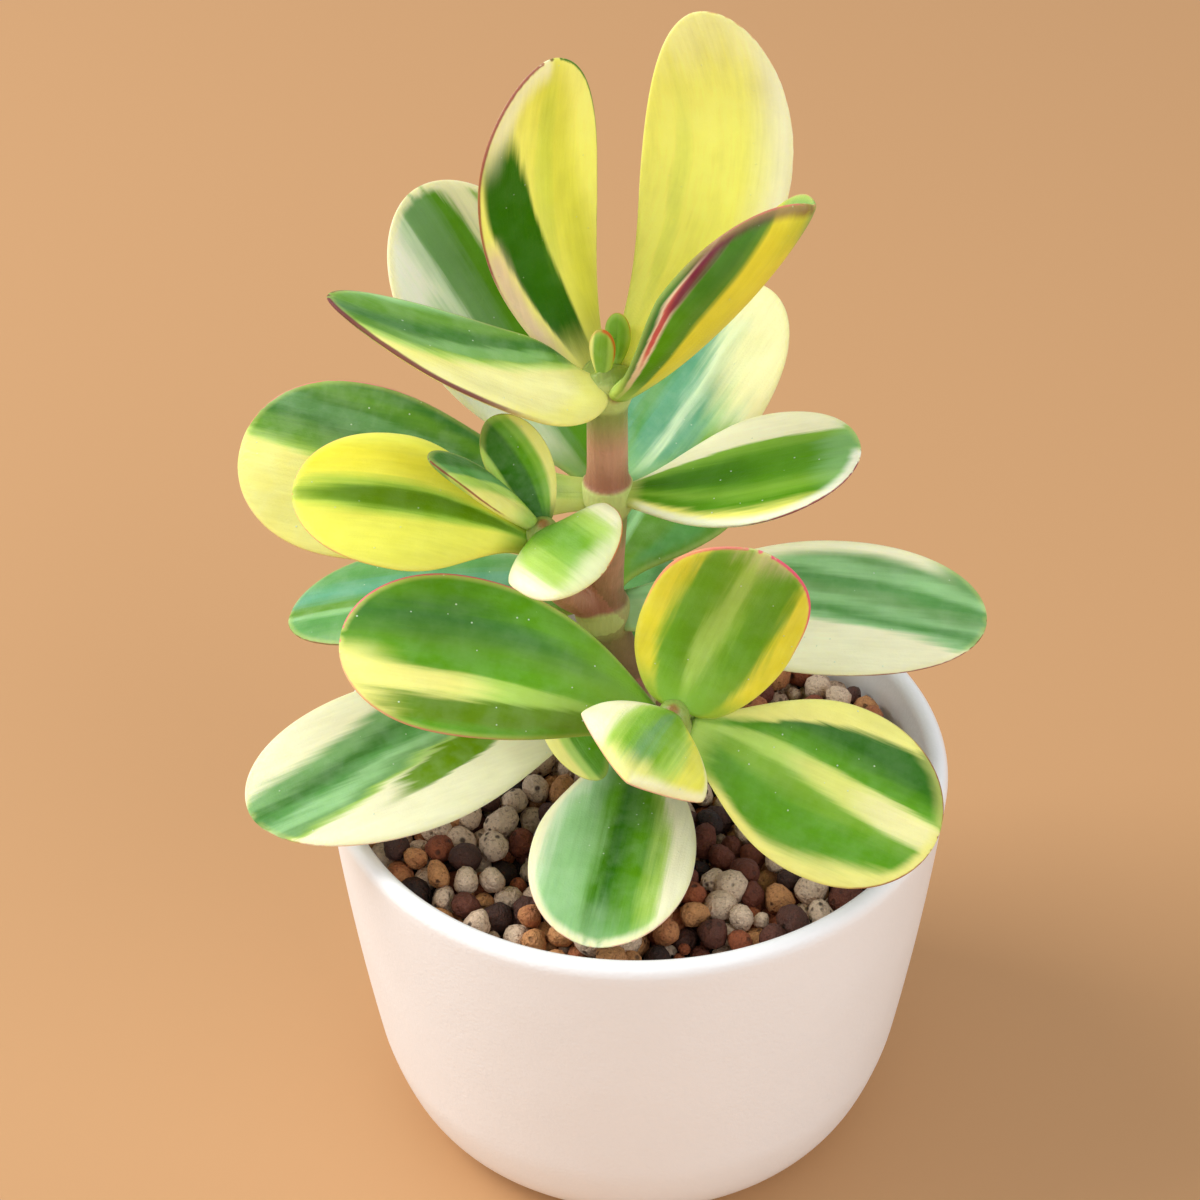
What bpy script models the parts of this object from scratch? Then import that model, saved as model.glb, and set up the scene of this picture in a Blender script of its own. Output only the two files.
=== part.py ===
"""Potted variegated jade plant: fleshy leaves on a branching stem, pellet substrate, round pot.

Frame: +Z up, metres, origin on the pot's axis at the middle of its flat base.
The front of the plant faces -Y. Sizes below are written in millimetres times MM.
"""
import math
import random
from dataclasses import dataclass

import bmesh
import bpy
from mathutils import Quaternion, Vector

MM = 0.001
GAP = 0.3 * MM

# Pot: a turned bowl with a straight tapering wall and a generous round at its foot
POT_HEIGHT = 70.0 * MM
POT_RIM_RADIUS = 50.0 * MM
POT_WALL_FOOT_RADIUS = 44.3 * MM
POT_CORNER_HEIGHT = 19.0 * MM
POT_BASE_RADIUS = 29.5 * MM
POT_WALL = 3.3 * MM
POT_FLOOR = 5.0 * MM
POT_LIP_DEPTH = 2.2 * MM
POT_WALL_BULGE = 0.5 * MM
POT_CORNER_EASE = 6
POT_STEPS = 40
WALL_POINTS = 4
CORNER_POINTS = 6
LIP_POINTS = 5
WELD = 0.00005

# Substrate: a bed that fills the pot, with round pellets sunk into its top
BED_TOP = 60.5 * MM
PELLET_SEED = 11
PELLET_PITCH = 7.4 * MM
PELLET_RADIUS_LOW = 3.0 * MM
PELLET_RADIUS_HIGH = 4.0 * MM
PELLET_SINK = 0.35
PELLET_JITTER = 0.9 * MM
PELLET_HEAVE = 0.8 * MM
PELLET_TO_WALL = 2.2 * MM
PELLET_TO_STEM = 1.2 * MM
PELLET_TURN_AXIS = (1.0, 0.4, 0.2)
ROW_SPACING = math.sqrt(3) / 2
HOLE_CLEARANCE = 0.4 * MM
HOLE_CUTTER_LENGTH = 30.0 * MM
HOLE_SIDES = 24

# Leaves: rings along the blade and points round its section
LEAF_RINGS = 10
LEAF_SIDES = 10
LEAF_THICKNESS = 3.4 * MM
STALK_SHARE = 0.19
WIDEST_AT = 0.64
TIP_BLUNTNESS = 2.3
TIP_CLOSING = 0.5
BLADE_SWELL = 1.4
EDGE_CLOSING = 5
CURL_AT_FOOT = 0.15
LEAN_SHARE = 0.4
POLE = 0.00001

# Stem: swells at each pair of leaves
STEM_SWELL = 0.9 * MM
STEM_SWELL_REACH = 2.4 * MM
STEM_STEP = 2.5 * MM
STEM_RESOLUTION = 3

# Stem points from the root up, in millimetres, each with the stem's radius there
MAIN_STEM = [
    (2.0, 10.0, 49.0, 3.9),
    (2.0, 10.0, 62.0, 3.9),
    (-1.0, 8.5, 77.0, 3.7),
    (-5.4, 6.0, 94.0, 3.5),
    (-4.6, 3.0, 119.0, 3.2),
    (-4.5, 1.0, 140.0, 3.0),
    (-4.5, 0.8, 142.5, 2.4),
]
LEFT_SHOOT = [
    (-5.4, 6.0, 94.0, 2.3),
    (-11.5, -1.0, 103.0, 2.2),
    (-13.8, -7.0, 113.0, 2.0),
    (-14.0, -8.8, 119.0, 1.9),
    (-14.0, -9.2, 122.0, 1.3),
]
FRONT_SHOOT = [
    (-1.0, 8.5, 77.0, 2.4),
    (1.5, -5.0, 79.0, 2.3),
    (4.2, -20.0, 83.5, 2.2),
    (5.3, -26.0, 96.5, 2.1),
    (5.2, -27.4, 101.8, 1.2),
]

# Where pairs of leaves leave the stems, in millimetres, each with the stem's radius there
NODES = {
    "crown": (-4.5, 1.0, 140.0, 3.0),
    "crown_top": (-4.5, 0.8, 142.5, 0.4),
    "upper": (-4.6, 3.0, 119.0, 3.2),
    "middle": (-5.4, 6.0, 94.0, 3.5),
    "lower": (-1.0, 8.5, 77.0, 3.7),
    "root": (0.5, 9.2, 70.3, 3.8),
    "left_fork": (-14.0, -8.6, 118.0, 1.9),
    "left_tip": (-14.0, -9.0, 120.5, 1.9),
    "front_fork": (5.3, -26.0, 96.5, 2.1),
    "front_tip": (5.2, -27.2, 100.3, 1.9),
}

# Leaf skins by their main colour, as linear red, green and blue
LEAF_SKINS = {
    "green": (0.09, 0.33, 0.05),
    "blue_green": (0.13, 0.36, 0.20),
    "yellow": (0.85, 0.78, 0.20),
    "cream": (0.80, 0.82, 0.50),
}


@dataclass
class Leaf:
    """One fleshy leaf.

    node: the pair of leaves it belongs to; heading and lift: the way it leaves the stem, in degrees
    round from +X and up from level; tip: its far end in millimetres; width in millimetres;
    face: the way its upper side looks, in degrees as heading and lift; reach: how far it keeps its
    first direction, as a share of its length; curl: how far its margins turn up, in degrees;
    twist: its turn from foot to tip, in degrees; rise: its foot's height over the node in
    millimetres; widest, stalk: where the blade is widest, as a share of its length, and its foot's
    width as a share of that; swell: how late it widens towards that place; blunt, closing: how
    late and how roundly it narrows beyond it; thickness in metres.
    """

    name: str
    node: str
    heading: float
    lift: float
    tip: tuple
    width: float
    face: tuple
    skin: str
    reach: float = 0.4
    curl: float = 10.0
    twist: float = 0.0
    rise: float = 0.0
    widest: float = WIDEST_AT
    stalk: float = STALK_SHARE
    swell: float = BLADE_SWELL
    blunt: float = TIP_BLUNTNESS
    closing: float = TIP_CLOSING
    thickness: float = LEAF_THICKNESS


LEAVES = [
    Leaf("leaf_crown_upright_left", "crown", 136, 46, (-11.8, 5, 191), 20.5, (305, 20), "yellow", reach=0.5,
         rise=0.2, widest=0.6, stalk=0.28, swell=1.0),
    Leaf("leaf_crown_upright_right", "crown", 36, 38, (7.4, 12, 194.4), 22.2, (262, 25), "yellow",
         reach=0.63, rise=1.8, widest=0.57, stalk=0.2, swell=1.0, blunt=2.1),
    Leaf("leaf_crown_right", "crown", 332, 41, (24.5, -6, 174.3), 26.5, (140, 40), "green", curl=65,
         rise=0.2, stalk=0.3),
    Leaf("leaf_crown_left", "crown", 232, 12, (-44, -5, 159), 16.8, (270, 78), "green", reach=0.27, curl=18,
         twist=40, rise=0.7, widest=0.5, stalk=0.35, swell=1.0),
    Leaf("leaf_crown_bud_front", "crown_top", 250, 80, (-5, -1, 150.8), 4.0, (70, 20), "green", rise=0.3,
         stalk=0.5, thickness=1.8 * MM),
    Leaf("leaf_crown_bud_back", "crown_top", 40, 70, (-3, 4, 150.5), 4, (250, 20), "green", rise=0.9,
         stalk=0.5, thickness=1.8 * MM),
    Leaf("leaf_upper_back_left", "upper", 128, 30, (-33.8, 28, 157.2), 28, (300, 44), "blue_green",
         rise=1.2),
    Leaf("leaf_upper_back_right", "upper", 50, 20, (20, 34, 136.5), 23, (260, 50), "blue_green",
         widest=0.42, swell=0.9, blunt=2.8),
    Leaf("leaf_upper_right", "upper", 345, 17, (33, -4, 131.7), 21.7, (270, 78), "green", swell=1.2),
    Leaf("leaf_upper_left", "upper", 187, 4, (-60.5, 8, 123.8), 27, (270, 40), "green", widest=0.72,
         swell=2.0),
    Leaf("leaf_middle_left", "middle", 175, 0, (-56, 14, 87), 23, (270, 85), "blue_green", rise=3,
         stalk=0.3, swell=1.0),
    Leaf("leaf_middle_right", "middle", 0, 5, (55, 4, 93.5), 23, (270, 60), "blue_green", stalk=0.3),
    Leaf("leaf_middle_back", "middle", 70, 10, (12, 42, 105), 28, (260, 70), "blue_green", rise=3.6,
         stalk=0.17, swell=1.7),
    Leaf("leaf_middle_front", "middle", 225, -15, (-5.2, -20, 81.6), 9, (230, 65), "green", reach=0.55,
         rise=-2.5, stalk=0.3),
    Leaf("leaf_lower_left", "lower", 205, 0, (-58.8, -26.5, 79.4), 27.5, (268, 68), "cream"),
    Leaf("leaf_lower_front", "root", 266, 8, (-7, -44, 69), 25.5, (270, 80), "blue_green", widest=0.7,
         swell=1.8),
    Leaf("leaf_lower_back", "lower", 90, 10, (5.5, 43.5, 76), 22, (290, 80), "blue_green"),
    Leaf("leaf_left_shoot_outer", "left_fork", 185, 36, (-50.4, -12, 129.4), 22, (270, 60), "yellow",
         swell=1.8),
    Leaf("leaf_left_shoot_small", "left_tip", 180, 48, (-30, -15, 137.8), 7.2, (270, 76), "green",
         curl=20, rise=1.4, stalk=0.3, swell=1.0, thickness=2.6 * MM),
    Leaf("leaf_left_shoot_upright", "left_tip", 99, 44, (-22, -6, 138.3), 9.8, (290, 25), "green",
         stalk=0.3, swell=1.1, thickness=2.6 * MM),
    Leaf("leaf_left_shoot_front", "left_tip", 285, 30, (-5.2, -21, 121.5), 19.5, (225, 70), "green",
         widest=0.5, blunt=3.0, stalk=0.3, swell=1.0),
    Leaf("leaf_front_shoot_upright", "front_tip", 55, 50, (17.4, -28, 131), 23.5, (270, 15), "green",
         rise=-0.6, widest=0.52, stalk=0.3, swell=0.6, blunt=3.4),
    Leaf("leaf_front_shoot_left", "front_fork", 175, 38, (-44, -21, 109.3), 24, (268, 48), "green",
         widest=0.7),
    Leaf("leaf_front_shoot_right", "front_fork", 0, -32, (45, -34, 82), 27.5, (270, 50), "green"),
    Leaf("leaf_front_shoot_front", "front_tip", 260, 40, (-1.5, -47, 104.2), 22.5, (0, 60), "cream",
         curl=-24, widest=0.64, swell=1.4, blunt=1.3, closing=0.8),
]


def direction(angles):
    """Unit vector for a heading round from +X and a lift from level, in degrees."""
    heading, lift = (math.radians(a) for a in angles)
    return Vector((math.cos(heading) * math.cos(lift), math.sin(heading) * math.cos(lift), math.sin(lift)))


def material(name, colour, roughness):
    """Principled material of one colour."""
    made = bpy.data.materials.new(name)
    made.use_nodes = True
    shader = made.node_tree.nodes["Principled BSDF"]
    shader.inputs["Base Color"].default_value = (*colour, 1.0)
    shader.inputs["Roughness"].default_value = roughness
    shader.inputs["Metallic"].default_value = 0.0
    return made


def add_object(name, mesh, collection, finish=None):
    """Link a mesh as a named object in a collection, smooth shaded."""
    made = bpy.data.objects.new(name, mesh)
    collection.objects.link(made)
    if finish:
        mesh.materials.append(finish)
    mesh.shade_smooth()
    return made


def half_width(leaf, along):
    """Half the blade's width: it swells from the stalk to the widest place, then narrows to the tip."""
    widest = leaf.width * MM / 2
    if along < leaf.widest:
        swell = math.sin(math.pi / 2 * along / leaf.widest) ** leaf.swell
        return widest * (leaf.stalk + (1 - leaf.stalk) * swell)
    beyond = (along - leaf.widest) / (1 - leaf.widest)
    return widest * max(0.0, 1 - beyond ** leaf.blunt) ** leaf.closing


def half_thickness(leaf, along):
    """Half the blade's thickness: nearly even, closing at the tip."""
    return leaf.thickness / 2 * math.sqrt(max(0.0, 1 - along ** EDGE_CLOSING))


def leaf_midrib(leaf):
    """Foot, knee and tip of the curve that the leaf's midrib follows."""
    x, y, z, radius = NODES[leaf.node]
    outward = direction((leaf.heading, leaf.lift))
    level = direction((leaf.heading, 0))
    swell = STEM_SWELL * math.exp(-(leaf.rise * MM / STEM_SWELL_REACH) ** 2)
    lean = LEAN_SHARE * leaf.thickness / 2 * abs(math.sin(math.radians(leaf.lift)))
    from_axis = radius * MM + swell + GAP + lean
    foot = Vector((x, y, z + leaf.rise)) * MM + level * from_axis
    tip = Vector(leaf.tip) * MM
    knee = foot + outward * leaf.reach * (tip - foot).length
    return foot, knee, tip


def make_leaf(leaf, collection, finish):
    """Lay a ball's rings along the midrib and pull its section to the blade's width and thickness."""
    foot, knee, tip = leaf_midrib(leaf)
    face = direction(leaf.face)
    shape = bmesh.new()
    bmesh.ops.create_uvsphere(shape, u_segments=LEAF_SIDES, v_segments=LEAF_RINGS, radius=1)
    for vertex in shape.verts:
        along = (1 - vertex.co.z) / 2
        ring = math.hypot(vertex.co.x, vertex.co.y)
        across = vertex.co.x / ring if ring > POLE else 0.0
        over = vertex.co.y / ring if ring > POLE else 0.0
        middle = foot * (1 - along) ** 2 + knee * 2 * along * (1 - along) + tip * along ** 2
        tangent = ((knee - foot) * (1 - along) + (tip - knee) * along).normalized()
        up = (face - tangent * face.dot(tangent)).normalized()
        up.rotate(Quaternion(tangent, math.radians(leaf.twist) * (along - 0.5)))
        side = tangent.cross(up)
        width = half_width(leaf, along) if ring > POLE else 0.0
        curl = math.radians(leaf.curl) * min(1.0, CURL_AT_FOOT + along / leaf.widest)
        bend = across * curl
        outward = side * math.cos(bend) + up * math.sin(bend)
        lifted = up * math.cos(bend) - side * math.sin(bend)
        place = middle + side * (math.sin(bend) / curl * width) + up * ((1 - math.cos(bend)) / curl * width)
        thick = half_thickness(leaf, along) if ring > POLE else 0.0
        vertex.co = place + lifted * over * thick
    mesh = bpy.data.meshes.new(leaf.name)
    shape.to_mesh(mesh)
    shape.free()
    return add_object(leaf.name, mesh, collection, finish)


def pot_wall_radius(height):
    """Outer radius of the wall above its rounded foot: a straight taper, a touch fuller halfway."""
    share = (height - POT_CORNER_HEIGHT) / (POT_HEIGHT - POT_LIP_DEPTH - POT_CORNER_HEIGHT)
    bulge = POT_WALL_BULGE * 4 * share * (1 - share)
    return POT_WALL_FOOT_RADIUS + (POT_RIM_RADIUS - POT_WALL_FOOT_RADIUS) * share + bulge


def outer_profile():
    """Outer side of the pot from just under its lip down to the edge of its base.

    The foot's round is a quarter ellipse, eased near its top to start along the wall's own slope.
    """
    points = []
    wall_top = POT_HEIGHT - POT_LIP_DEPTH
    for i in range(WALL_POINTS):
        height = wall_top - i / WALL_POINTS * (wall_top - POT_CORNER_HEIGHT)
        points.append((pot_wall_radius(height), height))
    slope = (POT_RIM_RADIUS - POT_WALL_FOOT_RADIUS + 4 * POT_WALL_BULGE) / (wall_top - POT_CORNER_HEIGHT)
    reach = POT_WALL_FOOT_RADIUS - POT_BASE_RADIUS
    for i in range(CORNER_POINTS):
        turn = math.pi / 2 * i / (CORNER_POINTS - 1)
        ease = slope * POT_CORNER_HEIGHT * math.sin(turn) * math.cos(turn) ** POT_CORNER_EASE
        points.append((POT_BASE_RADIUS + reach * math.cos(turn) - ease,
                       POT_CORNER_HEIGHT * (1 - math.sin(turn))))
    return points


def inner_profile(clearance):
    """Inner side of the pot from its floor's edge up, moved inwards by a clearance."""
    inset = POT_WALL + clearance
    floor = POT_FLOOR + clearance
    points = []
    for i in range(CORNER_POINTS):
        turn = math.pi / 2 * (1 - i / (CORNER_POINTS - 1))
        reach = POT_WALL_FOOT_RADIUS - POT_BASE_RADIUS
        radius = POT_BASE_RADIUS - inset + reach * math.cos(turn)
        points.append((radius, floor + (POT_CORNER_HEIGHT - POT_FLOOR) * (1 - math.sin(turn))))
    return points


def lip_profile():
    """Rounded lip from the inner wall over the top to the outer wall."""
    middle = POT_RIM_RADIUS - POT_WALL / 2
    points = []
    for i in range(LIP_POINTS + 1):
        turn = math.pi * (1 - i / LIP_POINTS)
        points.append((middle + POT_WALL / 2 * math.cos(turn),
                       POT_HEIGHT - POT_LIP_DEPTH + POT_LIP_DEPTH * math.sin(turn)))
    return points


def turned(name, profile, collection, finish):
    """A profile of (radius, height) turned once round the pot's axis."""
    mesh = bpy.data.meshes.new(name)
    edges = [(i, i + 1) for i in range(len(profile) - 1)]
    mesh.from_pydata([(r, 0, z) for r, z in profile], edges, [])
    made = bpy.data.objects.new(name, mesh)
    collection.objects.link(made)
    mesh.materials.append(finish)
    screw = made.modifiers.new("turn", "SCREW")
    screw.steps = POT_STEPS
    screw.render_steps = POT_STEPS
    screw.use_merge_vertices = True
    screw.merge_threshold = WELD
    screw.use_smooth_shade = True
    return made


def make_pot(collection):
    """The pot: floor, inner wall, lip, outer wall and flat base in one turned shell."""
    inner = inner_profile(0)
    profile = [(0, POT_FLOOR)] + inner + lip_profile()[:-1] + outer_profile() + [(0, 0)]
    return turned("pot", profile, collection, material("white_ceramic", (0.86, 0.85, 0.83), 0.35))


def pellet_places(draw):
    """Jittered hexagonal rows of pellets inside the pot's mouth, clear of its wall and of the stem."""
    places = []
    mouth = POT_RIM_RADIUS - POT_WALL - PELLET_TO_WALL
    stem_x, stem_y, _, stem_radius = (value * MM for value in MAIN_STEM[1])
    rows = int(mouth / (PELLET_PITCH * ROW_SPACING)) + 1
    for row in range(-rows, rows + 1):
        for column in range(-rows, rows + 1):
            x = (column + 0.5 * (row % 2)) * PELLET_PITCH + draw.uniform(-PELLET_JITTER, PELLET_JITTER)
            y = row * PELLET_PITCH * ROW_SPACING + draw.uniform(-PELLET_JITTER, PELLET_JITTER)
            radius = draw.uniform(PELLET_RADIUS_LOW, PELLET_RADIUS_HIGH)
            z = BED_TOP + radius * (1 - 2 * PELLET_SINK) + draw.uniform(0, PELLET_HEAVE)
            from_stem = math.hypot(x - stem_x, y - stem_y)
            if math.hypot(x, y) + radius < mouth and from_stem > radius + stem_radius + PELLET_TO_STEM:
                places.append((Vector((x, y, z)), radius))
    return places


def make_substrate(collection, cutters):
    """Bed with its pellets fused in, and a plain hole for the root of the stem."""
    finish = material("pumice_and_clay", (0.42, 0.31, 0.22), 0.9)
    inner = inner_profile(GAP)
    share = (BED_TOP - POT_CORNER_HEIGHT) / (POT_HEIGHT - POT_LIP_DEPTH - POT_CORNER_HEIGHT)
    top_radius = POT_WALL_FOOT_RADIUS + (POT_RIM_RADIUS - POT_WALL_FOOT_RADIUS) * share - POT_WALL - GAP
    profile = [(0, BED_TOP), (top_radius, BED_TOP)] + inner[::-1] + [(0, POT_FLOOR + GAP)]
    bed = turned("substrate", profile, collection, finish)
    pellets = bpy.data.collections.new("pellets")
    bpy.context.scene.collection.children.link(pellets)
    draw = random.Random(PELLET_SEED)
    for place, radius in pellet_places(draw):
        shape = bmesh.new()
        bmesh.ops.create_icosphere(shape, subdivisions=1, radius=radius)
        bmesh.ops.rotate(shape, verts=shape.verts, cent=(0, 0, 0),
                         matrix=Quaternion(PELLET_TURN_AXIS, draw.uniform(0, math.tau)).to_matrix())
        bmesh.ops.translate(shape, verts=shape.verts, vec=place)
        mesh = bpy.data.meshes.new("pellet")
        shape.to_mesh(mesh)
        shape.free()
        add_object("pellet", mesh, pellets)
    union = bed.modifiers.new("pellets", "BOOLEAN")
    union.operation = "UNION"
    union.solver = "MANIFOLD"
    union.operand_type = "COLLECTION"
    union.collection = pellets
    evaluated = bed.evaluated_get(bpy.context.evaluated_depsgraph_get())
    fused = bpy.data.meshes.new_from_object(evaluated)
    bed.modifiers.clear()
    bed.data = fused
    for pellet in list(pellets.objects):
        bpy.data.objects.remove(pellet, do_unlink=True)
    bpy.data.collections.remove(pellets)
    x, y, z, radius = MAIN_STEM[0]
    shape = bmesh.new()
    hole_radius = radius * MM + HOLE_CLEARANCE
    bmesh.ops.create_cone(shape, cap_ends=True, segments=HOLE_SIDES, radius1=hole_radius,
                          radius2=hole_radius, depth=HOLE_CUTTER_LENGTH)
    cutter_height = z * MM - GAP + HOLE_CUTTER_LENGTH / 2
    bmesh.ops.translate(shape, verts=shape.verts, vec=(x * MM, y * MM, cutter_height))
    mesh = bpy.data.meshes.new("root_hole")
    shape.to_mesh(mesh)
    shape.free()
    hole = add_object("root_hole", mesh, cutters)
    hole.hide_render = True
    hole.display_type = "WIRE"
    cut = bed.modifiers.new("root_hole", "BOOLEAN")
    cut.operation = "DIFFERENCE"
    cut.solver = "EXACT"
    cut.object = hole
    return bed


def stem_points(path):
    """Points along a smooth curve through a stem's own points, with its radius swollen at each node."""
    knots = [Vector(p[:3]) * MM for p in path]
    radii = [p[3] * MM for p in path]
    swellings = [Vector(p[:3]) * MM for p in NODES.values()]
    points = []
    for i in range(len(knots) - 1):
        before = knots[max(i - 1, 0)]
        after = knots[min(i + 2, len(knots) - 1)]
        start, end = knots[i], knots[i + 1]
        steps = max(1, round((end - start).length / STEM_STEP))
        for k in range(steps + (i == len(knots) - 2)):
            t = k / steps
            place = 0.5 * (2 * start + (end - before) * t
                           + (2 * before - 5 * start + 4 * end - after) * t ** 2
                           + (3 * start - before - 3 * end + after) * t ** 3)
            radius = radii[i] * (1 - t) + radii[i + 1] * t
            nearest = min((place - s).length for s in swellings)
            radius += STEM_SWELL * math.exp(-(nearest / STEM_SWELL_REACH) ** 2)
            points.append((place, radius))
    return points


def stem_solid(name, path, collection):
    """A round stem along its path, as a closed mesh."""
    curve = bpy.data.curves.new(name, "CURVE")
    curve.dimensions = "3D"
    curve.bevel_depth = 1.0
    curve.bevel_resolution = STEM_RESOLUTION
    curve.use_fill_caps = True
    points = stem_points(path)
    spline = curve.splines.new("POLY")
    spline.points.add(len(points) - 1)
    for point, (place, radius) in zip(spline.points, points):
        point.co = (*place, 1)
        point.radius = radius
    drawn = bpy.data.objects.new(name + "_path", curve)
    collection.objects.link(drawn)
    bpy.context.view_layer.update()
    mesh = bpy.data.meshes.new_from_object(drawn.evaluated_get(bpy.context.evaluated_depsgraph_get()))
    weld = bmesh.new()
    weld.from_mesh(mesh)
    bmesh.ops.remove_doubles(weld, verts=weld.verts, dist=WELD)
    bmesh.ops.recalc_face_normals(weld, faces=weld.faces)
    weld.to_mesh(mesh)
    weld.free()
    bpy.data.objects.remove(drawn, do_unlink=True)
    return add_object(name, mesh, collection)


def make_stem(collection):
    """Main stem with its two side shoots, grown together as one body."""
    main = stem_solid("stem", MAIN_STEM, collection)
    main.data.materials.append(material("stem_skin", (0.42, 0.30, 0.20), 0.6))
    shoots = bpy.data.collections.new("shoots")
    bpy.context.scene.collection.children.link(shoots)
    stem_solid("left_shoot", LEFT_SHOOT, shoots)
    stem_solid("front_shoot", FRONT_SHOOT, shoots)
    union = main.modifiers.new("shoots", "BOOLEAN")
    union.operation = "UNION"
    union.solver = "EXACT"
    union.operand_type = "COLLECTION"
    union.collection = shoots
    bpy.context.view_layer.update()
    fused = bpy.data.meshes.new_from_object(main.evaluated_get(bpy.context.evaluated_depsgraph_get()))
    main.modifiers.clear()
    main.data = fused
    for shoot in list(shoots.objects):
        bpy.data.objects.remove(shoot, do_unlink=True)
    bpy.data.collections.remove(shoots)
    return main


def main():
    """Clear the scene and build the plant."""
    for old in list(bpy.data.objects):
        bpy.data.objects.remove(old, do_unlink=True)
    plant = bpy.data.collections.new("potted_jade_plant")
    cutters = bpy.data.collections.new("cutters")
    bpy.context.scene.collection.children.link(plant)
    bpy.context.scene.collection.children.link(cutters)
    make_pot(plant)
    make_substrate(plant, cutters)
    make_stem(plant)
    skins = {name: material(f"leaf_skin_{name}", colour, 0.4) for name, colour in LEAF_SKINS.items()}
    for leaf in LEAVES:
        make_leaf(leaf, plant, skins[leaf.skin])
    base = bpy.data.objects.new("base", None)
    plant.objects.link(base)
    for piece in plant.objects:
        if piece is not base:
            piece.parent = base


main()
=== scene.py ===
"""The looks of a potted variegated jade plant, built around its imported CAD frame.

Lengths in this file are millimetres until a mesh is made, where they become metres.
"""

from __future__ import annotations

import logging
from collections.abc import Callable
from dataclasses import dataclass
from enum import Enum

import bpy
import numpy as np
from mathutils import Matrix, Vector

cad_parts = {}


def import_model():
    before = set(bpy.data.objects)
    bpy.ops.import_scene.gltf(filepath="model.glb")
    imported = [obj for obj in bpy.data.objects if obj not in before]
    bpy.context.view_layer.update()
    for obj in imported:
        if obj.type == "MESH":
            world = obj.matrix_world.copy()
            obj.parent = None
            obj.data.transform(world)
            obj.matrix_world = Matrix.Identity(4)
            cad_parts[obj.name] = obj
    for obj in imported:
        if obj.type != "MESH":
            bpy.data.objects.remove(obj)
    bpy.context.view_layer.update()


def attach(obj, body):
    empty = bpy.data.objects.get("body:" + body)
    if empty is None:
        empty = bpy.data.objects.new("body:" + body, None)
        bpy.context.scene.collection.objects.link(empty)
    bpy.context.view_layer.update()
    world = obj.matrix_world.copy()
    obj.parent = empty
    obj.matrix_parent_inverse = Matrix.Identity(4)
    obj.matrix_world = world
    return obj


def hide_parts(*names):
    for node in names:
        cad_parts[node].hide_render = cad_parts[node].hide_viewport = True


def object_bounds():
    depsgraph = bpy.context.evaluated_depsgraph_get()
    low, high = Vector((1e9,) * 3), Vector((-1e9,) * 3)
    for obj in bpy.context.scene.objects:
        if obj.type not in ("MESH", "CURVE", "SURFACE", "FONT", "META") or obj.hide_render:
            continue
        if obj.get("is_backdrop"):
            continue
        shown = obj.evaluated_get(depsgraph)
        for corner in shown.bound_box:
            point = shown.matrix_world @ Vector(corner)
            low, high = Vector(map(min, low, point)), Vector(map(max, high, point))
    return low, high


LOG = logging.getLogger("jade_plant")
MM = 0.001
BODY = "root"

Point = tuple[float, float, float]
Pair = tuple[float, float]
Row = tuple[float, float, float, float]


# Colours

class Tint(Enum):
    """Colours of the plant and its pot, as display red, green and blue from 0 to 255."""

    MOSS = (96, 134, 4)
    DEEP_GREEN = (46, 108, 0)
    SPRUCE = (64, 120, 44)
    LEAF_GREEN = (92, 154, 12)
    MEADOW = (128, 174, 44)
    FERN = (98, 148, 44)
    FRESH_GREEN = (134, 184, 56)
    PALE_GREEN = (178, 212, 96)
    OLIVE_GREEN = (108, 150, 0)
    BLUE_GREEN = (94, 156, 78)
    SAGE = (122, 170, 102)
    MIST_GREEN = (154, 204, 138)
    FROST = (206, 230, 190)
    MILK = (250, 255, 232)
    SEA_GREEN = (100, 166, 128)
    CREAM = (252, 248, 208)
    IVORY = (240, 234, 174)
    BUTTER = (238, 234, 134)
    YELLOW = (238, 228, 66)
    CITRON = (234, 232, 92)
    LEMON = (255, 250, 130)
    FOOT_GREEN = (198, 214, 112)
    BLOOM = (216, 234, 208)
    ROSE_CREAM = (240, 214, 178)
    PINK = (236, 90, 126)
    RED = (206, 44, 52)
    WINE = (112, 34, 62)
    CRIMSON = (138, 18, 48)
    COPPER = (206, 96, 44)
    COLLAR = (196, 206, 124)
    SHOOT = (150, 170, 84)
    OLIVE_SHOOT = (146, 150, 80)
    RUDDY = (204, 148, 120)
    BARK = (150, 124, 84)
    OLD_BARK = (112, 88, 62)
    NODE_LINE = (120, 30, 26)
    SCAR = (150, 84, 40)
    GLAZE = (246, 246, 247)
    BARE_CLAY = (222, 208, 188)
    PUMICE = (238, 210, 182)
    PUMICE_GREY = (196, 164, 138)
    SAND = (214, 152, 98)
    TERRACOTTA = (170, 92, 54)
    BRICK = (114, 58, 40)
    UMBER = (84, 52, 42)
    SOOT = (46, 33, 32)
    # painted shade inside the stones' open pores
    PIT = (52, 34, 26)
    FLOOR = (192, 146, 100)

    @property
    def linear(self) -> Row:
        """The colour as linear red, green, blue and alpha."""
        shown = np.array(self.value) / 255
        line = np.where(shown <= 0.04045, shown / 12.92, ((shown + 0.055) / 1.055) ** 2.4)
        return (*(round(float(part), 4) for part in line), 1.0)


# Shader building

def arithmetic(operation: str, swapped: bool = False) -> Callable[[Wire, Value], Wire]:
    """Returns a method that adds a Math node for two values, in turned order if swapped."""

    def apply(first: Wire, second: Value) -> Wire:
        """The Math node's result."""
        return first.graph.math(operation, *((second, first) if swapped else (first, second)))

    return apply


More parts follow.
